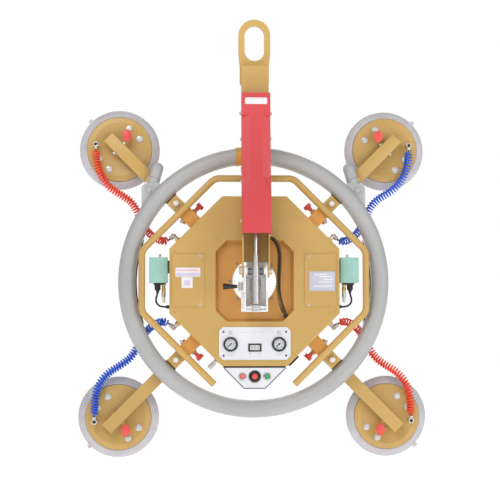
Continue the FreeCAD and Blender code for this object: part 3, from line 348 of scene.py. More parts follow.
def prism(outline, low, high, mesh=None, matrix=None):
    # a flat (x, y) outline between two heights, millimetres
    mesh = mesh or bmesh.new()
    foot = [mesh.verts.new((x / 1000, y / 1000, low / 1000)) for x, y in outline]
    head = [mesh.verts.new((x / 1000, y / 1000, high / 1000)) for x, y in outline]
    mesh.faces.new(foot[::-1])
    mesh.faces.new(head)
    for i in range(len(outline)):
        j = (i + 1) % len(outline)
        mesh.faces.new((foot[i], foot[j], head[j], head[i]))
    if matrix is not None:
        bmesh.ops.transform(mesh, matrix=matrix, verts=foot + head)
    return mesh


def brick(width, depth, height, mesh=None, matrix=None):
    half = width / 2, depth / 2
    outline = [(-half[0], -half[1]), (half[0], -half[1]), (half[0], half[1]), (-half[0], half[1])]
    return prism(outline, 0, height, mesh, matrix)


def hexagon(acrossFlats):
    radius = acrossFlats / math.sqrt(3)
    return [(radius * math.cos(math.radians(60 * i)), radius * math.sin(math.radians(60 * i))) for i in range(6)]


def polar(reachAt, steps):
    # a closed outline, reachAt(angle) millimetres from its middle
    outline = []
    for step in range(steps):
        angle = math.tau * step / steps
        outline.append((reachAt(angle) * math.cos(angle), reachAt(angle) * math.sin(angle)))
    return outline


def roundedRectangle(width, height, radius, steps=4):
    outline = []
    for sideX, sideY, start in ((1, 1, 0), (-1, 1, 90), (-1, -1, 180), (1, -1, 270)):
        for step in range(steps + 1):
            angle = math.radians(start + 90 * step / steps)
            outline.append((sideX * (width / 2 - radius) + radius * math.cos(angle),
                            sideY * (height / 2 - radius) + radius * math.sin(angle)))
    return outline


def tube(path, radius, sides=12):
    # a round tube whose rings stand on the points of path, in metres
    mesh = bmesh.new()
    rings = []
    normal = None
    for index, point in enumerate(path):
        before = path[max(0, index - 1)]
        after = path[min(len(path) - 1, index + 1)]
        along = (after - before).normalized()
        if normal is None:
            normal = along.orthogonal().normalized()
        normal = (normal - along * normal.dot(along)).normalized()
        across = along.cross(normal)
        size = radius(index) if callable(radius) else radius
        ring = []
        for step in range(sides):
            angle = math.tau * step / sides
            ring.append(mesh.verts.new(point + (normal * math.cos(angle) + across * math.sin(angle)) * size))
        rings.append(ring)
    skin(mesh, rings)
    mesh.faces.new(rings[0][::-1])
    mesh.faces.new(rings[-1])
    return mesh


# camera and light
view = {
    "aim": (-14.0, 0.0, 117.0),
    "azimuth": -2.55,
    "elevation": -3.6,
    "roll": -0.085,
    "distance": 5.0,
    "fieldOfView": 20.93,
}


def placeCamera():
    camera = bpy.data.objects.new("camera", bpy.data.cameras.new("camera"))
    bpy.context.scene.collection.objects.link(camera)
    azimuth = math.radians(view["azimuth"])
    elevation = math.radians(view["elevation"])
    away = Vector((math.sin(azimuth) * math.cos(elevation), -math.cos(azimuth) * math.cos(elevation),
                   math.sin(elevation)))
    camera.location = hub(*view["aim"]) + away * view["distance"]
    turn = (-away).to_track_quat("-Z", "Y") @ Matrix.Rotation(math.radians(view["roll"]), 3, "Z").to_quaternion()
    camera.rotation_euler = turn.to_euler()
    camera.data.angle = math.radians(view["fieldOfView"])
    camera.data.clip_end = 60
    bpy.context.scene.camera = camera


def placeLight():
    world = bpy.data.worlds.new("studio")
    bpy.context.scene.world = world
    world.use_nodes = True
    world.node_tree.nodes["Background"].inputs[0].default_value = (1.0, 1.0, 1.0, 1)
    world.node_tree.nodes["Background"].inputs[1].default_value = 0.46
    # the backdrop itself looks white, while the light it gives stays soft
    tree = world.node_tree
    seen = tree.nodes.new("ShaderNodeLightPath")
    strength = tree.nodes.new("ShaderNodeMapRange")
    strength.inputs["To Min"].default_value = 0.46
    strength.inputs["To Max"].default_value = 1.0
    tree.links.new(seen.outputs["Is Camera Ray"], strength.inputs["Value"])
    tree.links.new(strength.outputs["Result"], tree.nodes["Background"].inputs["Strength"])
    for name, place, size, power in (
        ("keyLight", (-1500, -3200, 2600), 2.4, 72),
        ("fillLight", (2600, -2600, 600), 2.6, 34),
        ("rimLight", (0, 2600, 2400), 2.0, 40),
    ):
        lamp = bpy.data.objects.new(name, bpy.data.lights.new(name, "AREA"))
        bpy.context.scene.collection.objects.link(lamp)
        lamp.location = hub(*place)
        lamp.rotation_euler = (hub(0, 0, 0) - lamp.location).to_track_quat("-Z", "Y").to_euler()
        lamp.data.size = size
        lamp.data.energy = power


placeCamera()
placeLight()
bpy.context.scene.view_settings.view_transform = "Standard"
print("camera and light placed")


# cords: coiled hoses, the coiled cable and the two switch leads

def routeCurve(name, route, resolution, mirrorX=1, mirrorZ=1):
    data = bpy.data.curves.new(name, "CURVE")
    data.dimensions = "3D"
    data.resolution_u = resolution
    spline = data.splines.new("NURBS")
    spline.points.add(len(route) - 1)
    for spot, (x, y, z) in zip(spline.points, route):
        spot.co = (*hub(mirrorX * x, y, mirrorZ * z), 1)
    spline.order_u = 3
    spline.use_endpoint_u = True
    return data


def routeLine(route, mirrorX=1, mirrorZ=1):
    # the smooth line of a route, read back from its NURBS spline
    data = routeCurve("route", route, 16, mirrorX, mirrorZ)
    holder = bpy.data.objects.new("route", data)
    bpy.context.scene.collection.objects.link(holder)
    bpy.context.view_layer.update()
    line = bpy.data.meshes.new_from_object(holder)
    points = [v.co.copy() for v in line.vertices]
    bpy.data.objects.remove(holder)
    bpy.data.meshes.remove(line)
    bpy.data.curves.remove(data)
    return points


def coilOn(points, coil, mirrored=False):
    # winds a helix on a line: a straight tail at each end, turns between
    stations = [0.0]
    for before, after in zip(points, points[1:]):
        stations.append(stations[-1] + (after - before).length)
    total = stations[-1]
    tail = coil["tail"] / 1000
    swell = coil["swell"] / 1000
    radius = (coil["outside"] - coil["tube"]) / 2000
    pitch = coil["pitch"] / 1000
    turns = (total - 2 * tail) / pitch
    count = int(turns * coil["pointsPerTurn"])
    path = []
    seat = 0
    normal = (points[1] - points[0]).normalized().orthogonal().normalized()
    for index in range(-3, count + 4):
        if index < 0:
            along = tail * (index + 3) / 3
        elif index > count:
            along = total - tail + tail * (index - count) / 3
        else:
            along = tail + (total - 2 * tail) * index / count
        while seat < len(stations) - 2 and stations[seat + 1] < along:
            seat += 1
        share = min(1.0, (along - stations[seat]) / (stations[seat + 1] - stations[seat]))
        centre = points[seat].lerp(points[seat + 1], share)
        tangent = (points[seat + 1] - points[seat]).normalized()
        normal = (normal - tangent * normal.dot(tangent)).normalized()
        across = tangent.cross(normal)
        fromEnd = min(along - tail, total - tail - along)
        grow = max(0.0, min(1.0, fromEnd / swell))
        grow = grow * grow * (3 - 2 * grow)
        angle = math.tau * max(0, min(count, index)) / coil["pointsPerTurn"]
        if mirrored:
            angle = -angle
        path.append(centre + (normal * math.cos(angle) + across * math.sin(angle)) * radius * grow)
    return path


hoseCoil = {
    "outside": 31.0,
    "tube": 6.0,
    "pitch": 10.5,
    "tail": 5.0,
    "swell": 7.0,
    "pointsPerTurn": 14,
    "route": (
        (587, 52, 497), (587, 52, 464), (579, 52, 424), (560, 53, 381), (527, 55, 346), (487, 57, 323),
        (451, 59, 297), (428, 59, 257), (411, 54, 213), (386, 38, 177), (354, 15, 156), (328, 2, 147), (311, -2,
                                                                                                        155),
    ),
    "lowerRoute": (
        (587, 52, 497), (587, 52, 462), (584, 52, 418), (568, 53, 370), (535, 55, 333), (494, 57, 309),
        (457, 59, 283), (432, 59, 245), (413, 54, 203), (387, 38, 171), (355, 15, 150), (328, 2, 145), (311, -2,
                                                                                                        155),
    ),
    "bendFrom": (411, 54, 213),
    "bendTo": (527, 55, 346),
    "farBody": {"upper_right": "upper_arm_right", "upper_left": "upper_arm_left",
                "lower_left": "cup_lower_left", "lower_right": "cup_lower_right"},
    "slot": {"upper_right": "blue_hose", "upper_left": "red_hose",
             "lower_left": "blue_hose", "lower_right": "red_hose"},
}


def addHose(corner):
    side, rise = signsOf(corner)
    route = hoseCoil["route"] if rise > 0 else hoseCoil["lowerRoute"]
    line = routeLine(route[::-1], side, rise)
    path = coilOn(line, hoseCoil, side * rise < 0)
    slotName = hoseCoil["slot"][corner]
    hose = newPiece("coiledHose." + corner, tube(path, hoseCoil["tube"] / 2000, 10), slotName, None, None,
                    smooth=180, nodes=("hose_" + corner,))
    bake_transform(hose)


for corner in corners:
    addHose(corner)

cableCoil = {
    "outside": 17.5,
    "tube": 4.0,
    "pitch": 7.4,
    "tail": 4.0,
    "swell": 6.0,
    "pointsPerTurn": 14,
    "route": (
        (55, -94, 160), (69, -94, 149), (82, -95, 132), (89, -96, 104), (90, -95, 68), (87, -94, 30),
        (85, -91, -8), (86, -87, -44), (92, -81, -75), (101, -73, -101), (111, -62, -122),
    ),
    "bendFrom": (89, -96, 104),
    "bendTo": (92, -81, -75),
}


def addCoilCable():
    path = coilOn(routeLine(cableCoil["route"]), cableCoil)
    cable = newPiece("coiledCable", tube(path, cableCoil["tube"] / 2000, 10), "black_rubber", None, None,
                     smooth=180, nodes=("coil_cable",))
    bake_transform(cable)


addCoilCable()

switchLead = {
    "diameter": 7.0,
    "route": (
        (354, -14, -30), (354, -14, -46), (360, -14, -62), (359, -14, -77), (350, -14, -88), (337, -14, -93),
        (322, -14, -93),
    ),
}


def addSwitchLead(name, side):
    line = routeLine(switchLead["route"], side)
    data = routeCurve(name, switchLead["route"], 12, side)
    data.bevel_depth = switchLead["diameter"] / 2000
    data.bevel_resolution = 4
    data.materials.append(finishes["black_rubber"])
    lead = bpy.data.objects.new(name, data)
    bpy.context.scene.collection.objects.link(lead)
    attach(lead, "carrier")
    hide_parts("switch_leads")


for sideName, side in rightFirst:
    addSwitchLead("switchLead" + sideName, side)
print("cords laid")


# suction cups, their valves and the arms that carry them

cup = {
    "plateRadius": 120.5,
    "plateFront": 76.0,
    "plateBack": 84.0,
    "boltCircle": 85.0,
    "boltAngles": (70, 108, 252, 290),
    "boltFlats": 17.0,
    "washerRadius": 13.0,
    "elbowSpot": (587, 514.85),
    "hoseTop": 497.0,
    "hoseDepth": 52.0,
    "valveSpot": (12.0, 54.0),
}

sealProfile = (
    (108, 84.2), (121.5, 84.2), (123.6, 82.6), (126.4, 83.4), (129.0, 86.2), (131.6, 86.8), (134.0, 89.8),
    (136.8, 90.8), (139.4, 93.6), (143.2, 96.6), (146.8, 100.8), (149.3, 105.0), (150.0, 107.2), (149.0, 110.0),
    (145.2, 110.0), (144.0, 108.4), (140.4, 104.6), (135.0, 101.4), (130.2, 99.4), (128.8, 97.4), (126.0, 96.6),
    (121.0, 96.6), (120.0, 94.8), (117.4, 94.8), (116.4, 96.6), (112.4, 96.6), (111.2, 94.4), (108, 94.2), (108,
                                                                                                            84.2),
)


def addHexBolt(mesh, matrix, flats, height, washer):
    if washer:
        spun([(0, 0), (washer, 0), (washer, 1.4), (washer - 0.6, 2.0), (0, 2.0)], 24, mesh, matrix)
    prism(hexagon(flats), 1.5, 1.5 + height, mesh, matrix)
    spun([(flats * 0.42, 1.5 + height - 0.2), (flats * 0.40, 1.9 + height), (flats * 0.2, 1.9 + height),
          (flats * 0.17, 1.4 + height), (0, 1.4 + height)],
         16, mesh, matrix)


def addCup(corner):
    place = cornerMatrix(corner)
    body = "cup_" + corner
    middle = facing((cupRadial, 0, 0), (0, 1, 0))
    radius = cup["plateRadius"]
    front, back = cup["plateFront"], cup["plateBack"]

    # pressed steel plate with a rolled edge, a shallow stiffening ring and the pivot lug behind the arm
    plate = spun([
        (0, front), (96, front), (98, front - 0.9), (101, front - 1.2), (104, front - 0.9), (106, front),
        (radius - 3, front), (radius - 1, front + 0.5), (radius, front + 1.8), (radius, back - 1.6), (radius - 1,
                                                                                                      back), (0,
                                                                                                              back),
    ], 96, matrix=middle)
    for side in (-1, 1):
        prism([(-16, -34), (16, -34), (16, -8), (9, 0), (-9, 0), (-16, -8)], 0, 6, plate,
              Matrix.Translation(Vector((cupRadial, 42, side * 13 - 3)) / 1000) @ Matrix.Diagonal((1, -1, 1, 1)))
    newPiece("cupPlate." + corner, plate, "yellow_paint", body, place, smooth=30, nodes=("cup_plate_" + corner,))

    bolts = bmesh.new()
    for angle in cup["boltAngles"]:
        angle = math.radians(angle)
        spot = (cupRadial + cup["boltCircle"] * math.cos(angle), front, cup["boltCircle"] * math.sin(angle))
        addHexBolt(bolts, facing(spot, (0, -1, 0)), cup["boltFlats"], 6.0, cup["washerRadius"])
    newPiece("cupBolts." + corner, bolts, "zinc_steel", body, place, bevel=0.0004)

    # soft skirt with shallow rings, the grip rings inside and its pull tab
    seal = spun(sealProfile, 128, matrix=middle)
    outline = [(140, -8), (156, -8), (159, -5), (159, 5), (156, 8), (140, 8)]
    tabPlace = Matrix.Translation(Vector((cupRadial, 97, 0)) / 1000)
    prism(outline, 0, 3.6, seal, tabPlace @ Matrix(((1, 0, 0, 0), (0, 0, 1, 0), (0, 1, 0, 0), (0, 0, 0, 1))))
    newPiece("cupSkirt." + corner, seal, "grey_rubber", body, place, smooth=50, nodes=("cup_seal_" + corner,))
    lining = spun([(0, 84.1), (107, 84.1), (107, 88), (0, 88)], 96, matrix=middle)
    for ring in range(6):
        rim = 22 + 15 * ring
        spun([(rim, 87.6), (rim + 1.2, 91.5), (rim + 3.8, 91.5), (rim + 5, 87.6)], 72, lining, middle)
    newPiece("cupLining." + corner, lining, "grey_rubber", body, place, smooth=30)

    # swivel elbow that points at the hose
    spotX, spotZ = cup["elbowSpot"]
    elbow = bmesh.new()
    base = facing((spotX, front, spotZ), (0, -1, 0))
    prism(hexagon(19), 0, 6, elbow, base)
    spun([(9.6, 5.5), (9.6, 27), (10.6, 27.5), (10.6, 31), (9.6, 32), (6.2, 32), (5.6, 30.4)], 32, elbow, base)
    barrel = facing((spotX, cup["hoseDepth"], spotZ), (0, 0, -1))
    length = spotZ - cup["hoseTop"]
    spun([(0, 0), (7.4, 6), (7.4, length - 6), (8.2, length - 5.5), (8.2, length - 1), (7.2, length),
          (3.4, length), (3.4, length - 3)],
         32, elbow, barrel)
    newPiece("cupElbow." + corner, elbow, "nickel_brass", body, mirrored(*signsOf(corner)), bevel=0.0003)
    plug = spun([(0, 31.6), (3.0, 31.6), (5.7, 31.2), (5.9, 30.2), (0, 29)], 24, matrix=base)
    newPiece("elbowPlug." + corner, plug, "black_plastic", body, mirrored(*signsOf(corner)))

    # valve body, and the red knob that closes this cup's vacuum
    valveX, valveZ = cupRadial + cup["valveSpot"][0], cup["valveSpot"][1]
    valve = bmesh.new()
    base = facing((valveX, front, valveZ), (0, -1, 0))
    prism(hexagon(21), 0, 5, valve, base)
    spun([(9.4, 4.5), (9.4, 17), (8.4, 18.5), (5.2, 19.5), (3.7, 20.5), (3.7, 34)], 32, valve, base)
    newPiece("valveBody." + corner, valve, "nickel_brass", body, place, bevel=0.0003)
    # two long wings, and a short stub each way between them
    outline = polar(lambda angle: 8.0 + 15.0 * abs(math.cos(angle)) ** 1.6 + 9.5 * abs(math.sin(angle)) ** 6, 64)
    handle = prism(outline, 34.5, 40, matrix=base @ Matrix.Rotation(math.radians(45), 4, "Z"))
    spun([(0, 25), (7.6, 25), (8.0, 26), (8.0, 39.5), (6.6, 40.8), (0, 41)], 32, handle, base)
    newPiece("valveKnob." + corner, handle, "red_plastic", "valve_handle_" + corner, place, bevel=0.0011,
             nodes=("valve_handle_" + corner,))


for corner in corners:
    addCup(corner)
print("cups made")

arm = {
    "inner": 548.0,
    "outer": cupRadial + 58.0,
    "halfWidth": 23.0,
    "front": 34.0,
    "back": 64.0,
    "wall": 4.0,
    "knuckle": (367.0, 14.0, 384.0),
    "knuckleLean": 16.0,
    "knuckleRadius": 22.0,
    "knuckleLength": 40.0,
}


def addFoldingArm(corner):
    body = "upper_arm_" + corner.split("_")[1]
    place = cornerMatrix(corner)
    half, wall = arm["halfWidth"], arm["wall"]
    front, back = arm["front"], arm["back"]

    # channel folded from plate, open at the rear; the section runs along the arm
    section = [
        (front + 2.5, -half), (back, -half), (back, -half + wall), (front + wall, -half + wall),
        (front + wall, half - wall), (back, half - wall), (back, half), (front + 2.5, half),
        (front + 0.7, half - 0.7), (front, half - 2.5), (front, -half + 2.5), (front + 0.7, -half + 0.7),
    ]
    along = Matrix(((0, 0, 1, 0), (1, 0, 0, 0), (0, 1, 0, 0), (0, 0, 0, 1)))
    channel = prism(section, arm["inner"], arm["outer"], matrix=along)
    prism([(front + wall, -half + wall), (back - 1, -half + wall), (back - 1, half - wall),
           (front + wall, half - wall)],
          arm["inner"], arm["inner"] + wall, channel, along)
    prism([(front - 27, -half + 8), (back - 5, -half + 8), (back - 5, half), (front - 27, half)],
          arm["inner"] - 12, arm["inner"] + 3, channel, along)
    newPiece("foldingArm." + corner, channel, "yellow_paint", body, place, smooth=30, bevel=0.0012, nodes=(body,))

    pin = bmesh.new()
    axle = facing((cupRadial, front + 18, 0), (0, 0, 1))
    spun([(0, -half - 7), (7, -half - 7), (8, -half - 6), (8, -half), (6, -half), (6, half), (8, half),
          (8, half + 6),
          (7, half + 7), (0, half + 7)], 28, pin, axle)
    newPiece("armPin." + corner, pin, "zinc_steel", body, place)

    # the turning half of the fold knuckle, with its domed cap
    lean = math.radians(arm["knuckleLean"])
    radius, length = arm["knuckleRadius"], arm["knuckleLength"]
    profile = [(8.1, 0.5), (radius - 1, 0.5), (radius, 1.5), (radius, length - 6), (radius + 0.8, length - 5.4),
               (radius + 0.8, length - 2.6), (radius, length - 2)]
    for step in range(9):
        angle = math.radians(90 * step / 8)
        profile.append((radius * math.cos(angle), length - 1 + (radius - 1) * math.sin(angle)))
    knuckle = spun(profile, 48, matrix=facing(arm["knuckle"], (-math.sin(lean), 0, math.cos(lean))))
    newPiece("foldKnuckle." + corner, knuckle, "grey_paint", body, mirrored(*signsOf(corner)), smooth=35)


addFoldingArm("upper_right")
addFoldingArm("upper_left")

def addWeld(name, spots, width, slotName, matrix, finish=None):
    # a row of overlapping ripples along a seam
    path = []
    for start, end in zip(spots, spots[1:]):
        start, end = Vector(start), Vector(end)
        count = max(2, int((end - start).length / 1.2))
        path += [start.lerp(end, i / count) / 1000 for i in range(count)]
    path.append(Vector(spots[-1]) / 1000)
    bead = tube(path, lambda index: width / 1000 * (0.5 + 0.09 * math.sin(index * 2.1)), 8)
    newPiece(name, bead, slotName, matrix=matrix, finish=finish, smooth=180)


star = {"place": 338.0, "face": 25.0, "lobes": 5, "reach": 12.2, "swell": 3.0}


def addStarKnob(corner):
    # moulded star grip on its threaded stem, held to the sleeve
    place = cornerMatrix(corner)
    base = facing((star["place"], 0, star["face"]), (0, 0, 1))
    outline = polar(lambda angle: star["reach"] + star["swell"] * math.cos(star["lobes"] * angle), 80)
    knob = prism(outline, 24, 38, matrix=base)
    spun([(6.9, 9), (7.2, 15), (9.4, 25), (9.4, 26)], 32, knob, base)
    spun([(7.5, 37.6), (7.0, 38.3), (0, 38.5)], 32, knob, base)
    newPiece("starKnob." + corner, knob, "red_plastic", "star_knob_" + corner, place, bevel=0.0018,
             nodes=("star_knob_" + corner,))
    stem = bmesh.new()
    profile = []
    for turn in range(11):
        profile += [(3.5, -2.8 + turn * 1.25), (4.0, -2.2 + turn * 1.25)]
    spun(profile + [(0, 11)], 24, stem, base)
    newPiece("starStem." + corner, stem, "zinc_steel", "star_knob_" + corner, place)


for corner in corners:
    addStarKnob(corner)
print("arms and clamps made")


# control panel: gauges, meter, lamps, screws and the switch box

dialWhite, dialTree, dialShader = newMaterial("dialEnamel", (0.74, 0.74, 0.75), 0.35)
dialSpeck = noiseOn(dialTree, 120.0, 2.0)
dialTone = ramp(dialTree, dialSpeck.outputs["Fac"], 0.3, 0.7, (0.70, 0.70, 0.71), (0.78, 0.78, 0.79))
dialTree.links.new(dialTone.outputs["Color"], dialShader.inputs["Base Color"])
inkBlack = plastic("printedInk", (0.03, 0.03, 0.035), 0.5, rounding=0)
screenGlass = plastic("meterScreen", (0.62, 0.66, 0.64), 0.15, 200.0, 0.02, 0)
labelWhite = plastic("labelFilm", (0.74, 0.72, 0.74), 0.32, 60.0, 0.05, 0)
labelPink = plastic("labelStripe", (0.70, 0.42, 0.42), 0.32, 60.0, 0.05, 0)
plateLilac = metal("engravedPlate", (0.62, 0.60, 0.66), 0.42, (1, 1, 8), 90.0, 0.08, 0.0003)


def clearGlass(name):
    material, tree, shader = newMaterial(name, (0.95, 0.97, 0.97), 0.05)
    shader.inputs["Transmission Weight"].default_value = 1.0
    shader.inputs["IOR"].default_value = 1.12
    ripple = noiseOn(tree, 60.0, 1.0)
    addSurface(tree, shader, ripple.outputs["Fac"], 0.02, 0.0002)
    return material


gaugeGlass = clearGlass("gaugeGlass")

panel = {
    "face": -72.5,
    "gaugeX": 88.0,
    "gaugeZ": -230.0,
    "gaugeRadius": 26.5,
    "dialFace": -73.0,
    "lampZ": -188.0,
    "meterZ": -242.0,
    "screwSpots": ((-113.5, -185), (113.5, -185), (-113.5, -271), (113.5, -271)),
}


def addText(name, words, height, spot):
    # raised print that faces the operator
    data = bpy.data.curves.new(name, "FONT")
    data.body = words
    data.size = height / 1000
    data.extrude = 0.00012
    data.align_x = "CENTER"
    data.align_y = "CENTER"
    holder = bpy.data.objects.new(name + "Letters", data)
    bpy.context.scene.collection.objects.link(holder)
    bpy.context.view_layer.update()
    flat = bpy.data.meshes.new_from_object(holder)
    bpy.data.objects.remove(holder)
    bpy.data.curves.remove(data)
    mesh = bmesh.new()
    mesh.from_mesh(flat)
    bpy.data.meshes.remove(flat)
    turn = Matrix.Translation(hub(*spot)) @ Matrix.Rotation(math.radians(90), 4, "X")
    newPiece(name, mesh, "black_plastic", matrix=turn, finish=inkBlack, smooth=30)


def addGauge(name, side):
    place = facing((side * panel["gaugeX"], 0, panel["gaugeZ"]), (0, -1, 0))
    radius, face = panel["gaugeRadius"], -panel["face"]
    rim = spun([(radius - 6.8, face - 2), (radius - 6.6, face + 4.2), (radius - 4.4, face + 6.2),
                (radius - 1.8, face + 6.5),
                (radius - 0.5, face + 5.8), (radius, face + 4.0), (radius, face), (radius - 6.8,
                                                                                   face - 2)], 72, matrix=place)
    newPiece(name + ".rim", rim, "black_plastic", smooth=50, nodes=("panel_instruments",))
    dial = spun([(0, 60), (radius - 2, 60), (radius - 2, -panel["dialFace"]), (0, -panel["dialFace"])], 64,
                matrix=place)
    newPiece(name + ".dial", dial, "panel_paint", finish=dialWhite, smooth=30)
    marks = bmesh.new()
    for step in range(28):
        angle = math.radians(225 - 270 * step / 27)
        long = step % 3 == 0
        inner = 13.8 if long else 15.4
        middle = (inner + 18.0) / 2
        turn = place @ Matrix.Rotation(math.pi - angle, 4, "Z") @ Matrix.Translation((middle / 1000, 0, 0.0730))
        brick(18.0 - inner, 0.7 if long else 0.4, 0.15, marks, turn)
    newPiece(name + ".marks", marks, "black_plastic", finish=inkBlack)
    for number, degrees in (("0", 225), ("2", 165), ("4", 112), ("6", 68), ("8", 15), ("10", -45)):
        angle = math.radians(degrees)
        spot = (side * panel["gaugeX"] + 10.4 * math.cos(angle), panel["dialFace"] - 0.1,
                panel["gaugeZ"] + 10.4 * math.sin(angle))
        addText(name + ".number" + number, number, 4.2, spot)
    glass = spun([(0, face + 4.9), (radius - 7.4, face + 4.6), (radius - 6.7, face + 4.2),
                  (radius - 6.7, face + 3.5), (0, face + 4.1)],
                 64, matrix=place)
    newPiece(name + ".glass", glass, "panel_paint", finish=gaugeGlass)


for sideName, side in leftFirst:
    addGauge("gauge" + sideName, side)

lampGlow = plastic("lampLens", (0.62, 0.62, 0.60), 0.12, 300.0, 0.03, 0)


def addLamp(name, side):
    place = facing((side * panel["gaugeX"], 0, panel["lampZ"]), (0, -1, 0))
    face = -panel["face"]
    rim = spun([(4.4, face - 3), (4.4, face + 1.4), (5.0, face + 2.2), (6.2, face + 2.0), (6.6, face + 1.0),
                (6.6, face), (4.4, face - 3)],
               32, matrix=place)
    newPiece(name + ".rim", rim, "zinc_steel")
    lens = spun([(4.5, face - 2), (4.5, face + 1.2), (3.6, face + 2.3), (1.8, face + 3.0), (0, face + 3.2)], 32,
                matrix=place)
    newPiece(name + ".lens", lens, "panel_paint", finish=lampGlow, smooth=60)


for sideName, side in leftFirst:
    addLamp("lamp" + sideName, side)

def addMeter():
    face = -panel["face"]
    place = facing((0, 0, panel["meterZ"]), (0, -1, 0))
    frameMesh = bmesh.new()
    outer = roundedRectangle(48, 29, 2.2)
    inner = roundedRectangle(36, 18.4, 1.0)
    rows = []
    for outline, height in ((outer, face), (outer, face + 2.2), (roundedRectangle(46.4, 27.4, 1.8), face + 3.0),
                            (inner, face + 3.0), (inner, face + 0.4)):
        rows.append([frameMesh.verts.new((x / 1000, y / 1000, height / 1000)) for x, y in outline])
    skin(frameMesh, rows)
    bmesh.ops.transform(frameMesh, matrix=place, verts=frameMesh.verts)
    newPiece("meter.frame", frameMesh, "black_plastic")
    newPiece("meter.screen", prism(inner, face - 1, face + 0.8, matrix=place), "panel_paint", finish=screenGlass)
    digits = bmesh.new()
    # every bar is lit: three eights
    lit = ((0, 5.2, 1), (2.9, 2.6, 0), (2.9, -2.6, 0), (0, -5.2, 1), (-2.9, -2.6, 0), (-2.9, 2.6, 0), (0, 0, 1))
    for middle in (-10.5, 0.0, 10.5):
        for x, z, flat in lit:
            size = (4.6, 1.1) if flat else (1.1, 4.2)
            brick(size[0], size[1], 0.12, digits, Matrix.Translation(Vector((middle + x, z, face + 0.8)) / 1000))
    turn = Matrix.Translation(Vector((0, 0, panel["meterZ"])) / 1000) @ Matrix.Rotation(math.radians(90), 4, "X")
    bmesh.ops.transform(digits, matrix=turn, verts=digits.verts)
    newPiece("meter.digits", digits, "black_plastic", finish=inkBlack)


addMeter()


def addScrews(name, spots, depth, headRadius, slotName, direction=(0, -1, 0)):
    # domed heads with a hexagon socket
    mesh = bmesh.new()
    for x, z in spots:
        place = facing((x, depth, z), direction)
        profile = [(headRadius, 0), (headRadius, 0.3 * headRadius)]
        for step in range(1, 5):
            angle = math.radians(90 * step / 5)
            profile.append((headRadius * math.cos(angle * 0.7), headRadius * (0.3 + 0.35 * math.sin(angle))))
        top = profile[-1][1]
        profile += [(headRadius * 0.42, top), (headRadius * 0.40, top - 0.3 * headRadius),
                    (0, top - 0.3 * headRadius)]
        spun(profile, 20, mesh, place)
    newPiece(name, mesh, slotName)


addScrews("panelScrews", panel["screwSpots"], panel["face"], 3.6, "black_plastic")

# faint generic print on the panel: rules above and below the meter and under each gauge
panelPrint = bmesh.new()
printLines = (
    (-40, -187, 26, 0.8), (-8, -187, 22, 0.8), (24, -187, 18, 0.8), (-88, -266, 34, 1.0), (88, -266, 34, 1.0),
    (-88, -270.5, 24, 0.8), (88, -270.5, 24, 0.8), (-17, -264, 8, 3.4), (17, -264, 8, 3.4), (0, -275, 46, 0.8),
)
greyInk = plastic("greyInk", (0.40, 0.38, 0.46), 0.5, rounding=0)
for lineX, lineZ, lineWidth, lineHeight in printLines:
    brick(lineWidth, lineHeight, 0.1, panelPrint, facing((lineX, panel["face"], lineZ), (0, -1, 0)))
newPiece("panelPrint", panelPrint, "panel_paint", finish=greyInk)

switchBox = {
    "topZ": -315.0,
    "footZ": -391.0,
    "frontTop": -68.0,
    "frontFoot": -56.0,
    "buttonZ": -346.0,
    "buttons": (("off_button", -45.0, "red_plastic"), ("on_button", 45.0, "green_plastic")),
}
boxSlope = math.atan2(switchBox["frontFoot"] - switchBox["frontTop"], switchBox["topZ"] - switchBox["footZ"])
boxFace = switchBox["frontTop"] + (switchBox["topZ"] - switchBox["buttonZ"]) * math.tan(boxSlope)


def addButtons():
    for node, x, slotName in switchBox["buttons"]:
        place = facing((x, boxFace, switchBox["buttonZ"]), (0, -1, 0))
        cap = spun([(0, -10), (8.7, -10), (8.9, -9), (8.9, 7.6), (8.4, 8.6), (7.4, 9.0), (6.6, 8.6), (0, 8.4)],
                   48, matrix=place)
        newPiece(node + ".cap", cap, slotName, node, smooth=50, nodes=(node,))
        mark = bmesh.new()
        if x < 0:
            spun([(2.8, 8.2), (2.8, 8.75), (3.7, 8.75), (3.7, 8.2), (2.8, 8.2)], 32, mark, place)
        else:
            brick(0.9, 6.8, 0.5, mark, place @ Matrix.Translation((0, 0, 0.0083)))
        newPiece(node + ".mark", mark, "panel_paint", node, finish=dialWhite)
        rim = spun([(9.2, -12), (9.2, 5.4), (10.0, 6.4), (11.4, 6.4), (12.6, 5.2), (14.2, 2.6), (14.4, 1.0),
                    (14.4, -2.4), (11, -2.4), (11, -12), (9.2, -12)],
                   56, matrix=place)
        newPiece(node + ".rim", rim, "zinc_steel", smooth=35)
    place = facing((0, boxFace, switchBox["buttonZ"]), (0, -1, 0))
    collar = spun([(11.0, -12), (11.0, 4.2), (12.2, 5.6), (15.4, 6.2), (19.6, 5.6), (21.8, 4.0), (22.4, 1.6),
                   (22.4, -3), (13, -3), (13, -12), (11, -12)],
                  72, matrix=place)
    newPiece("stopCollar", collar, "black_plastic", smooth=50)
    cap = spun([(0, -10), (10.3, -10), (10.6, -9), (10.6, 8.0), (9.8, 9.8), (7.8, 10.7), (4.0, 10.95), (0, 11.0)],
               48, matrix=place)
    newPiece("stopCap", cap, "red_plastic", "stop_button", smooth=50, nodes=("stop_button",))


addButtons()
# painted shadow: a black rubber strip stands in for the dark shadow gap between body and switch box
shadowStrip = prism([(-112, -69.2), (112, -69.2), (112, 18), (-112, 18)], 310.2, 314.9,
               matrix=Matrix(((1, 0, 0, 0), (0, 1, 0, 0), (0, 0, -1, 0), (0, 0, 0, 1))))
newPiece("boxShadowStrip", shadowStrip, "black_rubber", bevel=0.0004)
print("control panel made")

# corner mounts: the CAD part stays, and gets its fasteners, welds and end seal

mount = {
    "bodyEdge": 302.6,
    "sleeveHalf": 25.0,
    "blockPlace": 406.0,
    "blockFace": -19.0,
    "knobPlace": 338.0,
}


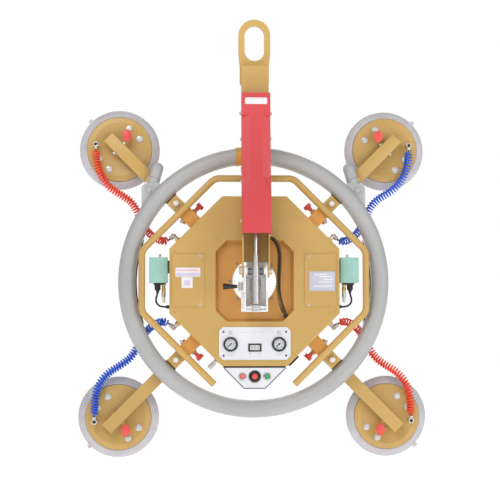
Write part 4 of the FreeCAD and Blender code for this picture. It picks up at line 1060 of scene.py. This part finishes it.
def addCornerFasteners(corner):
    place = cornerMatrix(corner)
    half = mount["sleeveHalf"]
    bolt = bmesh.new()
    face = facing((mount["blockPlace"], mount["blockFace"] - 3.2, 0), (0, -1, 0))
    spun([(0, -0.5), (11.8, -0.5), (11.8, 1.2), (11.2, 1.9), (0, 1.9)], 36, bolt, face)
    prism(hexagon(17), 1.5, 9.0, bolt, face)
    spun([(7.6, 8.8), (7.2, 9.7), (0, 9.9)], 30, bolt, face)
    newPiece("blockBolt." + corner, bolt, "zinc_steel", matrix=place, finish=boltWhite, bevel=0.0008)

    nut = bmesh.new()
    base = facing((mount["knobPlace"] + 6, -4, -half), (0, 0, -1))
    spun([(0, 0), (9.5, 0), (9.5, 1.4), (0, 1.4)], 28, nut, base)
    prism(hexagon(14), 1.2, 8.6, nut, base)
    spun([(4.4, 8.4), (4.6, 12.4), (3.8, 13.2), (0, 13.2)], 24, nut, base)
    newPiece("sleeveNut." + corner, nut, "nickel_brass", matrix=place, bevel=0.0005)

    # weld round the foot of the sleeve, and along the handle where it crosses
    foot = mount["bodyEdge"] + 1.5
    spots = [(foot, -half, -half), (foot, -half, half), (foot, 21, half), (foot, 21, -half), (foot, -half, -half)]
    addWeld("sleeveWeld." + corner, spots, 5.0, "tan_paint", place, orangePaint)
    for side, name in ((-1, "Low"), (1, "High")):
        spots = [(along, -half - 1, side * (half - 1)) for along in (363, 366, 376)]
        addWeld("handleWeld" + name + "." + corner, spots, 4.5, "yellow_paint", place)

    # rubber pad between the block and the ring
    pad = prism([(-25, 430.2), (25, 430.2), (25, 434.0), (-25, 434.0)], -22, -8,
                matrix=Matrix(((0, 1, 0, 0), (0, 0, 1, 0), (1, 0, 0, 0), (0, 0, 0, 1))))
    newPiece("ringPad." + corner, pad, "black_rubber", matrix=place, bevel=0.0006)


boltWhite = plastic("whiteBoltCap", (0.66, 0.64, 0.60), 0.35)
for corner in corners:
    addCornerFasteners(corner)

# the sleeves are orange and the blocks yellow, so the one CAD part takes both by distance from the hub
sleevePaint, sleeveTree, sleeveShader = newMaterial("sleevePaint", (0.64, 0.33, 0.07), 0.42)
sleevePlace = addNode(sleeveTree, "ShaderNodeTexCoord")
sleeveAxes = addNode(sleeveTree, "ShaderNodeSeparateXYZ")
sleeveTree.links.new(sleevePlace.outputs["Object"], sleeveAxes.inputs["Vector"])
fromMiddle = addNode(sleeveTree, "ShaderNodeMath", operation="ABSOLUTE")
sleeveTree.links.new(sleeveAxes.outputs["X"], fromMiddle.inputs[0])
fromHub = addNode(sleeveTree, "ShaderNodeMath", operation="ADD")
fromHub.inputs[1].default_value = 0.940
sleeveTree.links.new(sleeveAxes.outputs["Z"], fromHub.inputs[0])
rise = addNode(sleeveTree, "ShaderNodeMath", operation="ABSOLUTE")
sleeveTree.links.new(fromHub.outputs[0], rise.inputs[0])
reach = addNode(sleeveTree, "ShaderNodeMath", operation="ADD")
sleeveTree.links.new(fromMiddle.outputs[0], reach.inputs[0])
sleeveTree.links.new(rise.outputs[0], reach.inputs[1])
beyond = addNode(sleeveTree, "ShaderNodeMath", operation="GREATER_THAN")
beyond.inputs[1].default_value = 0.3755 * math.sqrt(2)
sleeveTree.links.new(reach.outputs[0], beyond.inputs[0])
sleeveSlow = noiseOn(sleeveTree, 5.0, 4.0)
orangeTone = ramp(sleeveTree, sleeveSlow.outputs["Fac"], 0.3, 0.7, (0.60, 0.27, 0.05), (0.68, 0.32, 0.065))
yellowTone = ramp(sleeveTree, sleeveSlow.outputs["Fac"], 0.3, 0.7, (0.475, 0.297, 0.085), (0.53, 0.33, 0.0945))
bothPaints = addNode(sleeveTree, "ShaderNodeMix", data_type="RGBA")
sleeveTree.links.new(beyond.outputs[0], bothPaints.inputs[0])
sleeveTree.links.new(orangeTone.outputs["Color"], bothPaints.inputs[6])
sleeveTree.links.new(yellowTone.outputs["Color"], bothPaints.inputs[7])
sleeveTree.links.new(bothPaints.outputs[2], sleeveShader.inputs["Base Color"])
sleevePeel = noiseOn(sleeveTree, 420.0, 2.0)
addSurface(sleeveTree, sleeveShader, sleevePeel.outputs["Fac"], 0.10, 0.0004, 0.0014)
frame["nodes"]["corner_mounts"].data.materials[0] = sleevePaint
print("corner mounts finished")


# pressure switches on both sides of the body

switch = {
    "inner": 317.0,
    "outer": 385.0,
    "front": -34.0,
    "seam": -22.0,
    "rear": 6.0,
    "low": -6.0,
    "high": 88.0,
    "corner": 3.5,
    "stem": (345.0, -14.0),
    "plug": (354.0, -14.0),
    "port": (332.0, -12.0),
}
footGreen = plastic("footGreen", (0.05, 0.12, 0.06), 0.4)
portBrass = metal("portBrass", (0.66, 0.46, 0.14), 0.32)
frostedCup = plastic("frostedCup", (0.66, 0.66, 0.62), 0.25, 200.0, 0.03)


def addSwitch(name, side):
    place = mirrored(side, 1)
    width = switch["outer"] - switch["inner"]
    height = switch["high"] - switch["low"]
    middleX = (switch["outer"] + switch["inner"]) / 2
    middleZ = (switch["high"] + switch["low"]) / 2
    flat = Matrix.Translation(Vector((middleX, 0, middleZ)) / 1000) @ Matrix.Rotation(math.radians(90), 4, "X")
    case = prism(roundedRectangle(width, height, switch["corner"]), -switch["seam"] + 0.6, -switch["front"],
                 matrix=flat)
    prism(roundedRectangle(width - 1.4, height - 1.4, switch["corner"] - 0.6), -switch["seam"] - 1.0,
          -switch["seam"] + 1.0, case, flat)
    prism(roundedRectangle(width, height, switch["corner"]), -switch["rear"], -switch["seam"] - 0.6, case, flat)
    newPiece(name + ".case", case, "teal_plastic", matrix=place, bevel=0.0011, nodes=("pressure_switches",))
    screws = bmesh.new()
    for across in (-1, 1):
        for up in (-1, 1):
            spot = (middleX + across * (width / 2 - 6), switch["front"], middleZ + up * (height / 2 - 6))
            spun([(3.0, -0.4), (3.0, 0.5), (2.4, 0.9), (1.2, 0.9), (1.0, 0.4), (0, 0.4)], 20, screws,
                 facing(spot, (0, -1, 0)))
    newPiece(name + ".screws", screws, "teal_plastic", matrix=place)
    foot = prism(roundedRectangle(24, 46, 3), 309.6, 317.4,
                 matrix=Matrix(((0, 0, 1, 0), (1, 0, 0, -0.012), (0, 1, 0, 0.053), (0, 0, 0, 1))))
    newPiece(name + ".foot", foot, "teal_plastic", matrix=place, finish=footGreen, bevel=0.0008)
    sideScrew = spun([(3.6, -1), (3.6, 1.5), (2.6, 2.4), (0, 2.6)], 20,
                     matrix=facing((switch["inner"], -28, 74), (-1, 0, 0)))
    newPiece(name + ".sideScrew", sideScrew, "black_plastic", matrix=place)

    stem = spun([(6.2, -0.5), (6.2, 2.6), (4.6, 3.2), (2.6, 3.4), (2.6, 7.0), (4.3, 7.4), (4.3, 11.6),
                 (3.4, 12.4), (0, 12.4)], 28,
                matrix=facing((switch["stem"][0], switch["stem"][1], switch["high"]), (0, 0, 1)))
    newPiece(name + ".stem", stem, "zinc_steel", matrix=place, smooth=30)

    # plug with its clamping nut and the tapered sleeve where the lead leaves
    plug = prism(roundedRectangle(40, 27, 2.5), -6.2, -0.2,
                 matrix=Matrix.Translation(Vector((switch["plug"][0] - 5, switch["plug"][1],
                                                   switch["low"])) / 1000))
    base = facing((switch["plug"][0], switch["plug"][1], switch["low"]), (0, 0, -1))
    knurl = []
    for step in range(48):
        angle = math.tau * step / 48
        size = 11.4 if step % 2 else 10.6
        knurl.append((size * math.cos(angle), size * math.sin(angle)))
    prism(knurl, 6.0, 22.0, plug, base)
    spun([(10.4, 21.8), (10.0, 24.5), (8.2, 27.0), (6.2, 29.5), (5.2, 34.0), (4.4, 38.0), (3.6, 38.4)], 32, plug,
         base)
    newPiece(name + ".plug", plug, "black_plastic", matrix=place, smooth=30, bevel=0.0004)

    base = facing((switch["port"][0], switch["port"][1], switch["low"]), (0, 0, -1))
    port = prism(hexagon(15), 0, 9, matrix=base)
    spun([(5.4, 9), (5.4, 13), (6.4, 13.6), (6.4, 17), (5.6, 17.6)], 28, port, base)
    prism(hexagon(13), 17, 31, port, base)
    newPiece(name + ".port", port, "nickel_brass", matrix=place, finish=portBrass, bevel=0.0005)
    filterHead = spun([(6.0, 30.5), (7.6, 31.5), (7.6, 36), (6.6, 37), (7.6, 38), (7.6, 50), (6.4, 51.5)], 32,
                      matrix=base)
    newPiece(name + ".filterHead", filterHead, "cast_aluminium", matrix=place, smooth=30)
    filterCup = spun([(6.4, 51), (6.6, 53), (6.3, 68), (5.0, 71), (2.4, 72), (0, 72)], 32, matrix=base)
    newPiece(name + ".filterCup", filterCup, "panel_paint", matrix=place, finish=frostedCup, smooth=50)


for sideName, side in rightFirst:
    addSwitch("switch" + sideName, side)
print("pressure switches made")


# fittings on the body: four hose elbows, the exhaust silencer and the glands

fitting = {"x": 277.0, "diagonal": 428.0, "depth": -2.0, "reach": 26.0}


def addElbow(name, side, rise):
    place = mirrored(side, rise)
    foot = Vector((fitting["x"], fitting["depth"], fitting["diagonal"] - fitting["x"]))
    out = Vector((halfRoot, 0, halfRoot))
    base = facing(foot, out)
    nut = prism(hexagon(20), -1.0, 9.0, matrix=base)
    spun([(9.2, 8.8), (8.8, 10.0), (7.0, 10.2)], 28, nut, base)
    newPiece(name + ".nut", nut, "nickel_brass", matrix=place, finish=portBrass, bevel=0.0005)
    knee = foot + out * fitting["reach"]
    body = spun([(7.2, 9.6), (7.2, 15.0), (8.0, 15.4), (8.0, 19.0), (7.2, 19.4), (7.2, fitting["reach"])], 28,
                matrix=base)
    ball = []
    for step in range(13):
        angle = math.radians(-90 + 180 * step / 12)
        ball.append((9.2 * math.cos(angle), 9.2 * math.sin(angle)))
    spun(ball, 28, body, facing(knee, out))
    arm = facing(knee, (13, 0, -12))
    spun([(6.8, 0), (6.8, 8.6), (8.6, 9.2), (8.6, 13.0), (7.2, 13.6), (7.2, 17.6), (5.6, 18.6), (3.2, 18.8),
          (3.2, 14)], 28, body, arm)
    newPiece(name + ".elbow", body, "zinc_steel", matrix=place, smooth=35)
    barb = spun([(3.1, 18.0), (3.6, 18.8), (2.9, 21.6), (3.6, 22.0), (2.9, 24.4), (2.0, 24.6)], 20, matrix=arm)
    newPiece(name + ".barb", barb, "black_plastic", matrix=place)


for side, sideName in ((-1, "Left"), (1, "Right")):
    for up, upName in ((-1, "Lower"), (1, "Upper")):
        addElbow("hoseFitting" + upName + sideName, side, up)

silencer = {"x": -138.0, "depth": -10.0}


def addSilencer():
    foot = Vector((silencer["x"], silencer["depth"], -fitting["diagonal"] - silencer["x"]))
    base = facing(foot, (-1, 0, -1))
    nut = prism(hexagon(17), -1.0, 7.0, matrix=base)
    spun([(6.0, 6.8), (6.0, 12.5)], 24, nut, base)
    newPiece("silencer.nut", nut, "nickel_brass", bevel=0.0005, nodes=("body_fittings",))
    profile = [(5.0, 11.0)]
    for rib in range(5):
        low = 12.0 + rib * 5.4
        profile += [(9.2, low), (9.2, low + 3.4), (7.8, low + 3.9), (7.8, low + 5.0)]
    profile += [(6.4, 39.4), (0, 40.0)]
    drum = spun(profile, 36, matrix=base)
    newPiece("silencer.drum", drum, "cast_aluminium", smooth=30)


addSilencer()


def addGland(name, end, direction, size):
    base = facing(end, direction)
    gland = spun([(size * 0.62, -3.0), (size * 0.75, 0), (size, 2.0), (size, 4.0)], 28, matrix=base)
    prism(hexagon(size * 2.1), 4.0, 9.5, gland, base)
    spun([(size * 0.9, 9.4), (size * 0.9, 15.0)], 28, gland, base)
    newPiece(name, gland, "black_plastic", bevel=0.0004)


cableEnd = Vector(cableCoil["route"][-1])
addGland("cableGland", cableEnd, cableEnd - Vector(cableCoil["route"][-2]), 7.5)
for side, sideName in ((-1, "Left"), (1, "Right")):
    end = Vector(switchLead["route"][-1])
    addGland("leadGland" + sideName, (side * end.x, end.y, end.z), (-side, 0, 0), 6.4)

# moulded grip on the index lever
grip = {"start": -67.0, "end": -117.0, "depth": -116.0, "height": -22.0}
gripProfile = [(5.2, -1), (6.8, 0), (7.1, 1.2), (6.9, 3.0), (7.4, 12), (8.6, 26), (10.2, 40), (10.9, 46),
               (10.6, 48.6), (8.8, 49.8), (0, 50)]
newPiece("leverGrip",
         spun(gripProfile, 36, matrix=facing((grip["start"], grip["depth"], grip["height"]), (-1, 0, 0))),
         "black_plastic", "index_lever", smooth=50, nodes=("lever_grip",))
print("fittings made")


# lift arm cover: blank badge, trim and side studs

cover = {
    "topZ": 671.0,
    "footZ": 161.0,
    "frontTop": -185.0,
    "frontFoot": -255.0,
    "half": 51.5,
    "badge": (80.0, 40.0),
    "badgeZ": 632.0,
}
coverLean = math.atan2(cover["frontTop"] - cover["frontFoot"], cover["topZ"] - cover["footZ"])


def coverFront(z):
    share = (cover["topZ"] - z) / (cover["topZ"] - cover["footZ"])
    return cover["frontTop"] + share * (cover["frontFoot"] - cover["frontTop"])


def onCover(x, z):
    # millimetres from the hub on the sloping face; local Z leaves the face
    turn = Matrix.Rotation(math.radians(90) + coverLean, 4, "X")
    return Matrix.Translation(Vector((x, coverFront(z), z)) / 1000) @ turn


badgeWidth, badgeHeight = cover["badge"]
badge = prism(roundedRectangle(badgeWidth, badgeHeight, 5, 6), -0.2, 0.9, matrix=onCover(0, cover["badgeZ"]))
newPiece("blankBadge", badge, "panel_paint", "lift_arm", finish=labelWhite, bevel=0.0003)
rim = bmesh.new()
rows = []
for outline, height in (
    (roundedRectangle(badgeWidth - 6, badgeHeight - 6, 3.5, 6),
     0.8), (roundedRectangle(badgeWidth - 6, badgeHeight - 6, 3.5, 6), 1.2),
    (roundedRectangle(badgeWidth - 8.4, badgeHeight - 8.4, 3, 6),
     1.2), (roundedRectangle(badgeWidth - 8.4, badgeHeight - 8.4, 3, 6), 0.8),
):
    rows.append([rim.verts.new((x / 1000, y / 1000, height / 1000)) for x, y in outline])
skin(rim, rows + rows[:1])
bmesh.ops.transform(rim, matrix=onCover(0, cover["badgeZ"]), verts=rim.verts)
newPiece("badgeRim", rim, "panel_paint", "lift_arm", finish=labelPink)


def addSideBolts():
    mesh = bmesh.new()
    for side in (-1, 1):
        for z, size in ((600, 10.0), (505, 8.0), (352, 8.0), (210, 8.0)):
            depth = -125 - (780 - z) / 717 * 60 - 13
            base = facing((side * cover["half"], depth, z), (side, 0, 0))
            spun([(0, 0), (size * 0.85, 0), (size * 0.85, 1.0), (0, 1.0)], 24, mesh, base)
            prism(hexagon(size), 0.8, 0.8 + size * 0.55, mesh, base)
    newPiece("coverBolts", mesh, "zinc_steel", "lift_arm", bevel=0.0004)


addSideBolts()


# hatches: quarter-turn locks, blank stickers and the blank plate

hatchFace = -72.6


def addHatchLocks(name, side):
    locks = bmesh.new()
    slots = bmesh.new()
    for z in (91, -86):
        base = facing((side * 197, hatchFace, z), (0, -1, 0))
        spun([(5.2, -0.4), (5.2, 0.5), (4.6, 1.1), (3.4, 1.3), (0, 1.3)], 28, locks, base)
        brick(1.3, 6.4, 1.45, slots, base @ Matrix.Rotation(0.6 * side, 4, "Z"))
    newPiece(name + ".locks", locks, "zinc_steel", "hatch_" + name[5:].lower())
    newPiece(name + ".slots", slots, "black_plastic", "hatch_" + name[5:].lower())


for sideName, side in leftFirst:
    addHatchLocks("hatch" + sideName, side)

labelLilac = plastic("labelLilac", (0.56, 0.52, 0.66), 0.35, 60.0, 0.05, 0)
plateBlue = plastic("plateField", (0.50, 0.50, 0.60), 0.38, 60.0, 0.05, 0)


def addLabel(name, low, high, lift, finish, body, radius=1.5):
    width, height = high[0] - low[0], high[1] - low[1]
    middle = ((low[0] + high[0]) / 2, (low[1] + high[1]) / 2)
    outline = roundedRectangle(width, height, radius)
    turn = Matrix.Translation(Vector((middle[0], hatchFace,
                                      middle[1])) / 1000) @ Matrix.Rotation(math.radians(90), 4, "X")
    newPiece(name, prism(outline, lift - 0.6, lift, matrix=turn), "panel_paint", body, finish=finish)


addLabel("stickerTop", (-288, 15), (-198, 48), 0.5, labelWhite, "hatch_left")
addLabel("stickerBand", (-286, 17), (-200, 29), 0.7, labelLilac, "hatch_left", 0.5)
addLabel("stickerRule", (-284, 36), (-204, 41), 0.7, labelPink, "hatch_left", 0.5)
addLabel("stickerSquare", (-266, -26), (-226, 13), 0.5, labelWhite, "hatch_left")
addLabel("stickerPatch", (-258, -17), (-234, 3), 0.7, labelLilac, "hatch_left", 6)
addLabel("plateBack", (198, -37), (293, 35), 0.9, plateLilac, "hatch_right", 1.0)
addLabel("plateField", (207, -31), (290, 31), 1.2, plateBlue, "hatch_right", 0.8)
plateRules = ((236, 280, 15), (252, 286, 5), (232, 280, -4), (214, 284, -19), (216, 262, 23))
for index, (inner, outer, height) in enumerate(plateRules):
    addLabel("plateRule" + str(index), (inner, height - 1.6), (outer, height + 1.6), 1.4, labelWhite,
             "hatch_right", 0.4)
print("covers and labels made")


# ring: black rubber strips beside the handle, painted in as the shade between ring and handle

ringShadeStrip = {"radius": 433.5, "depth": 15.0, "half": 21.0, "size": 5.0}


# painted shade: a thin black strip along the inside of the ring, next to the handle
def addRingShadeStrip(name, side):
    path = []
    for step in range(41):
        angle = math.radians(-ringShadeStrip["half"] + 2 * ringShadeStrip["half"] * step / 40)
        path.append(Vector((side * ringShadeStrip["radius"] * math.cos(angle), ringShadeStrip["depth"],
                            ringShadeStrip["radius"] * math.sin(angle))) / 1000)
    strip = tube(path, lambda index: ringShadeStrip["size"] / 2000 * min(1.0, 0.4 + min(index, 40 - index) * 0.3), 12)
    newPiece(name, strip, "black_rubber", smooth=180)


for sideName, side in rightFirst:
    addRingShadeStrip("ringShadeStrip" + sideName, side)

# black rubber block on the body's lower right edge
edgeBlockPlace = facing((140, -20, -288), (1, 0, -1))
edgeBlock = prism(roundedRectangle(60, 48, 4), 0.0, 8.0, matrix=edgeBlockPlace)
newPiece("edgeBlackBlock", edgeBlock, "black_rubber", bevel=0.0015)

# dark trim round the switch box's front
trimPath = [(-112, -316), (-38.5, -390), (38.5, -390), (112, -316)]


def addBoxTrim():
    flat = []
    for start, end in zip(trimPath, trimPath[1:]):
        flat += [(start[0] + (end[0] - start[0]) * step / 12,
                  start[1] + (end[1] - start[1]) * step / 12) for step in range(12)]
    spots = []
    for x, z in flat + trimPath[-1:]:
        depth = switchBox["frontTop"] + (switchBox["topZ"] - z) * math.tan(boxSlope) - 0.4
        spots.append(Vector((x, depth, z)) / 1000)
    newPiece("boxTrim", tube(spots, 0.0019, 10), "black_plastic", finish=trimGrey, smooth=60)


trimGrey = plastic("trimGrey", (0.12, 0.12, 0.14), 0.4)
addBoxTrim()


# handle end caps
def addHandleCap(name, side):
    base = facing((side * 149, -37.5, -374), (-side, 0, -1))
    cap = spun([(9.8, -6), (9.8, 0), (12.4, 0.2), (12.6, 1.4), (11.6, 2.8), (8.0, 3.6), (0, 3.8)], 40, matrix=base)
    newPiece(name, cap, "yellow_paint", smooth=50)


for sideName, side in leftFirst:
    addHandleCap("handleCap" + sideName, side)

# body fasteners, front and back
frontSpots = [(-100, 292), (100, 292), (-292, 108), (292, 108), (-292, -112), (292, -112), (-140, 150), (140, 150)]
addScrews("coverScrews", frontSpots, -70.0, 3.0, "yellow_paint")
backSpots = []
for step in range(8):
    angle = math.radians(22.5 + 45 * step)
    backSpots += [(310 * math.cos(angle), 310 * math.sin(angle))]
    backSpots += [(142 * math.cos(angle), 142 * math.sin(angle))]
addScrews("backScrews", backSpots, 28.5, 4.2, "zinc_steel", (0, 1, 0))


def addLouvres(name, middleX):
    # pressed cooling slots on the rear casing
    mesh = bmesh.new()
    for row in range(7):
        z = 45 - 15 * row
        outline = [(0, 0), (0, 9), (1.6, 8.4), (4.2, 2.0), (4.2, 0)]
        turn = Matrix(((0, 0, 1, 0), (1, 0, 0, 0.0284), (0, 1, 0, z / 1000), (0, 0, 0, 1)))
        prism(outline, middleX - 36, middleX + 36, mesh, turn)
    newPiece(name, mesh, "yellow_paint", bevel=0.0009)


addLouvres("louvresLeft", -222)
addLouvres("louvresRight", 222)

# pivot and strut retaining rings
rings = bmesh.new()
for side in (-1, 1):
    for y, z, size, x in ((-135, 35, 9.0, 59.0), (-140, 400, 9.5, 49.5)):
        base = facing((side * x, y, z), (side, 0, 0))
        spun([(size * 0.7, 0), (size, 0), (size, 1.2), (size * 0.7, 1.2), (size * 0.7, 0)], 32, rings, base)
newPiece("retainingRings", rings, "zinc_steel", "lift_arm", bevel=0.0002)
print("body details made")

# tie bars across the yoke, painted dark grey as the lines of shade on the white yoke
tieShadeGrey = metal("tieShadeGrey", (0.16, 0.16, 0.16), 0.5)
bars = bmesh.new()
for z in (40.5, 22.5):
    brick(56, 5.4, 2.2, bars, facing((0, -116.2, z), (0, -1, 0)))
newPiece("tieBars", bars, "zinc_steel", "yoke", finish=tieShadeGrey, bevel=0.0006)


# floor and finish

def addFloor():
    # a wide round floor, level with the lowest the lifter can reach, open on every side
    mesh = bmesh.new()
    low = cadBounds[0][2] - 0.32
    mesh.faces.new([mesh.verts.new((x, y, low)) for x, y in polar(lambda angle: 30.0, 48)])
    data = bpy.data.meshes.new("studioFloor")
    mesh.to_mesh(data)
    mesh.free()
    floor = bpy.data.objects.new("studioFloor", data)
    bpy.context.scene.collection.objects.link(floor)
    material, tree, shader = newMaterial("palePaper", (0.93, 0.93, 0.93), 0.9)
    speckle = noiseOn(tree, 3.0, 2.0)
    tone = ramp(tree, speckle.outputs["Fac"], 0.2, 0.8, (0.92, 0.92, 0.92), (0.94, 0.94, 0.94))
    tree.links.new(tone.outputs["Color"], shader.inputs["Base Color"])
    shader.inputs["Emission Color"].default_value = (1, 1, 1, 1)
    shader.inputs["Emission Strength"].default_value = 0.6
    data.materials.append(material)
    for face in data.polygons:
        face.use_smooth = True


addFloor()
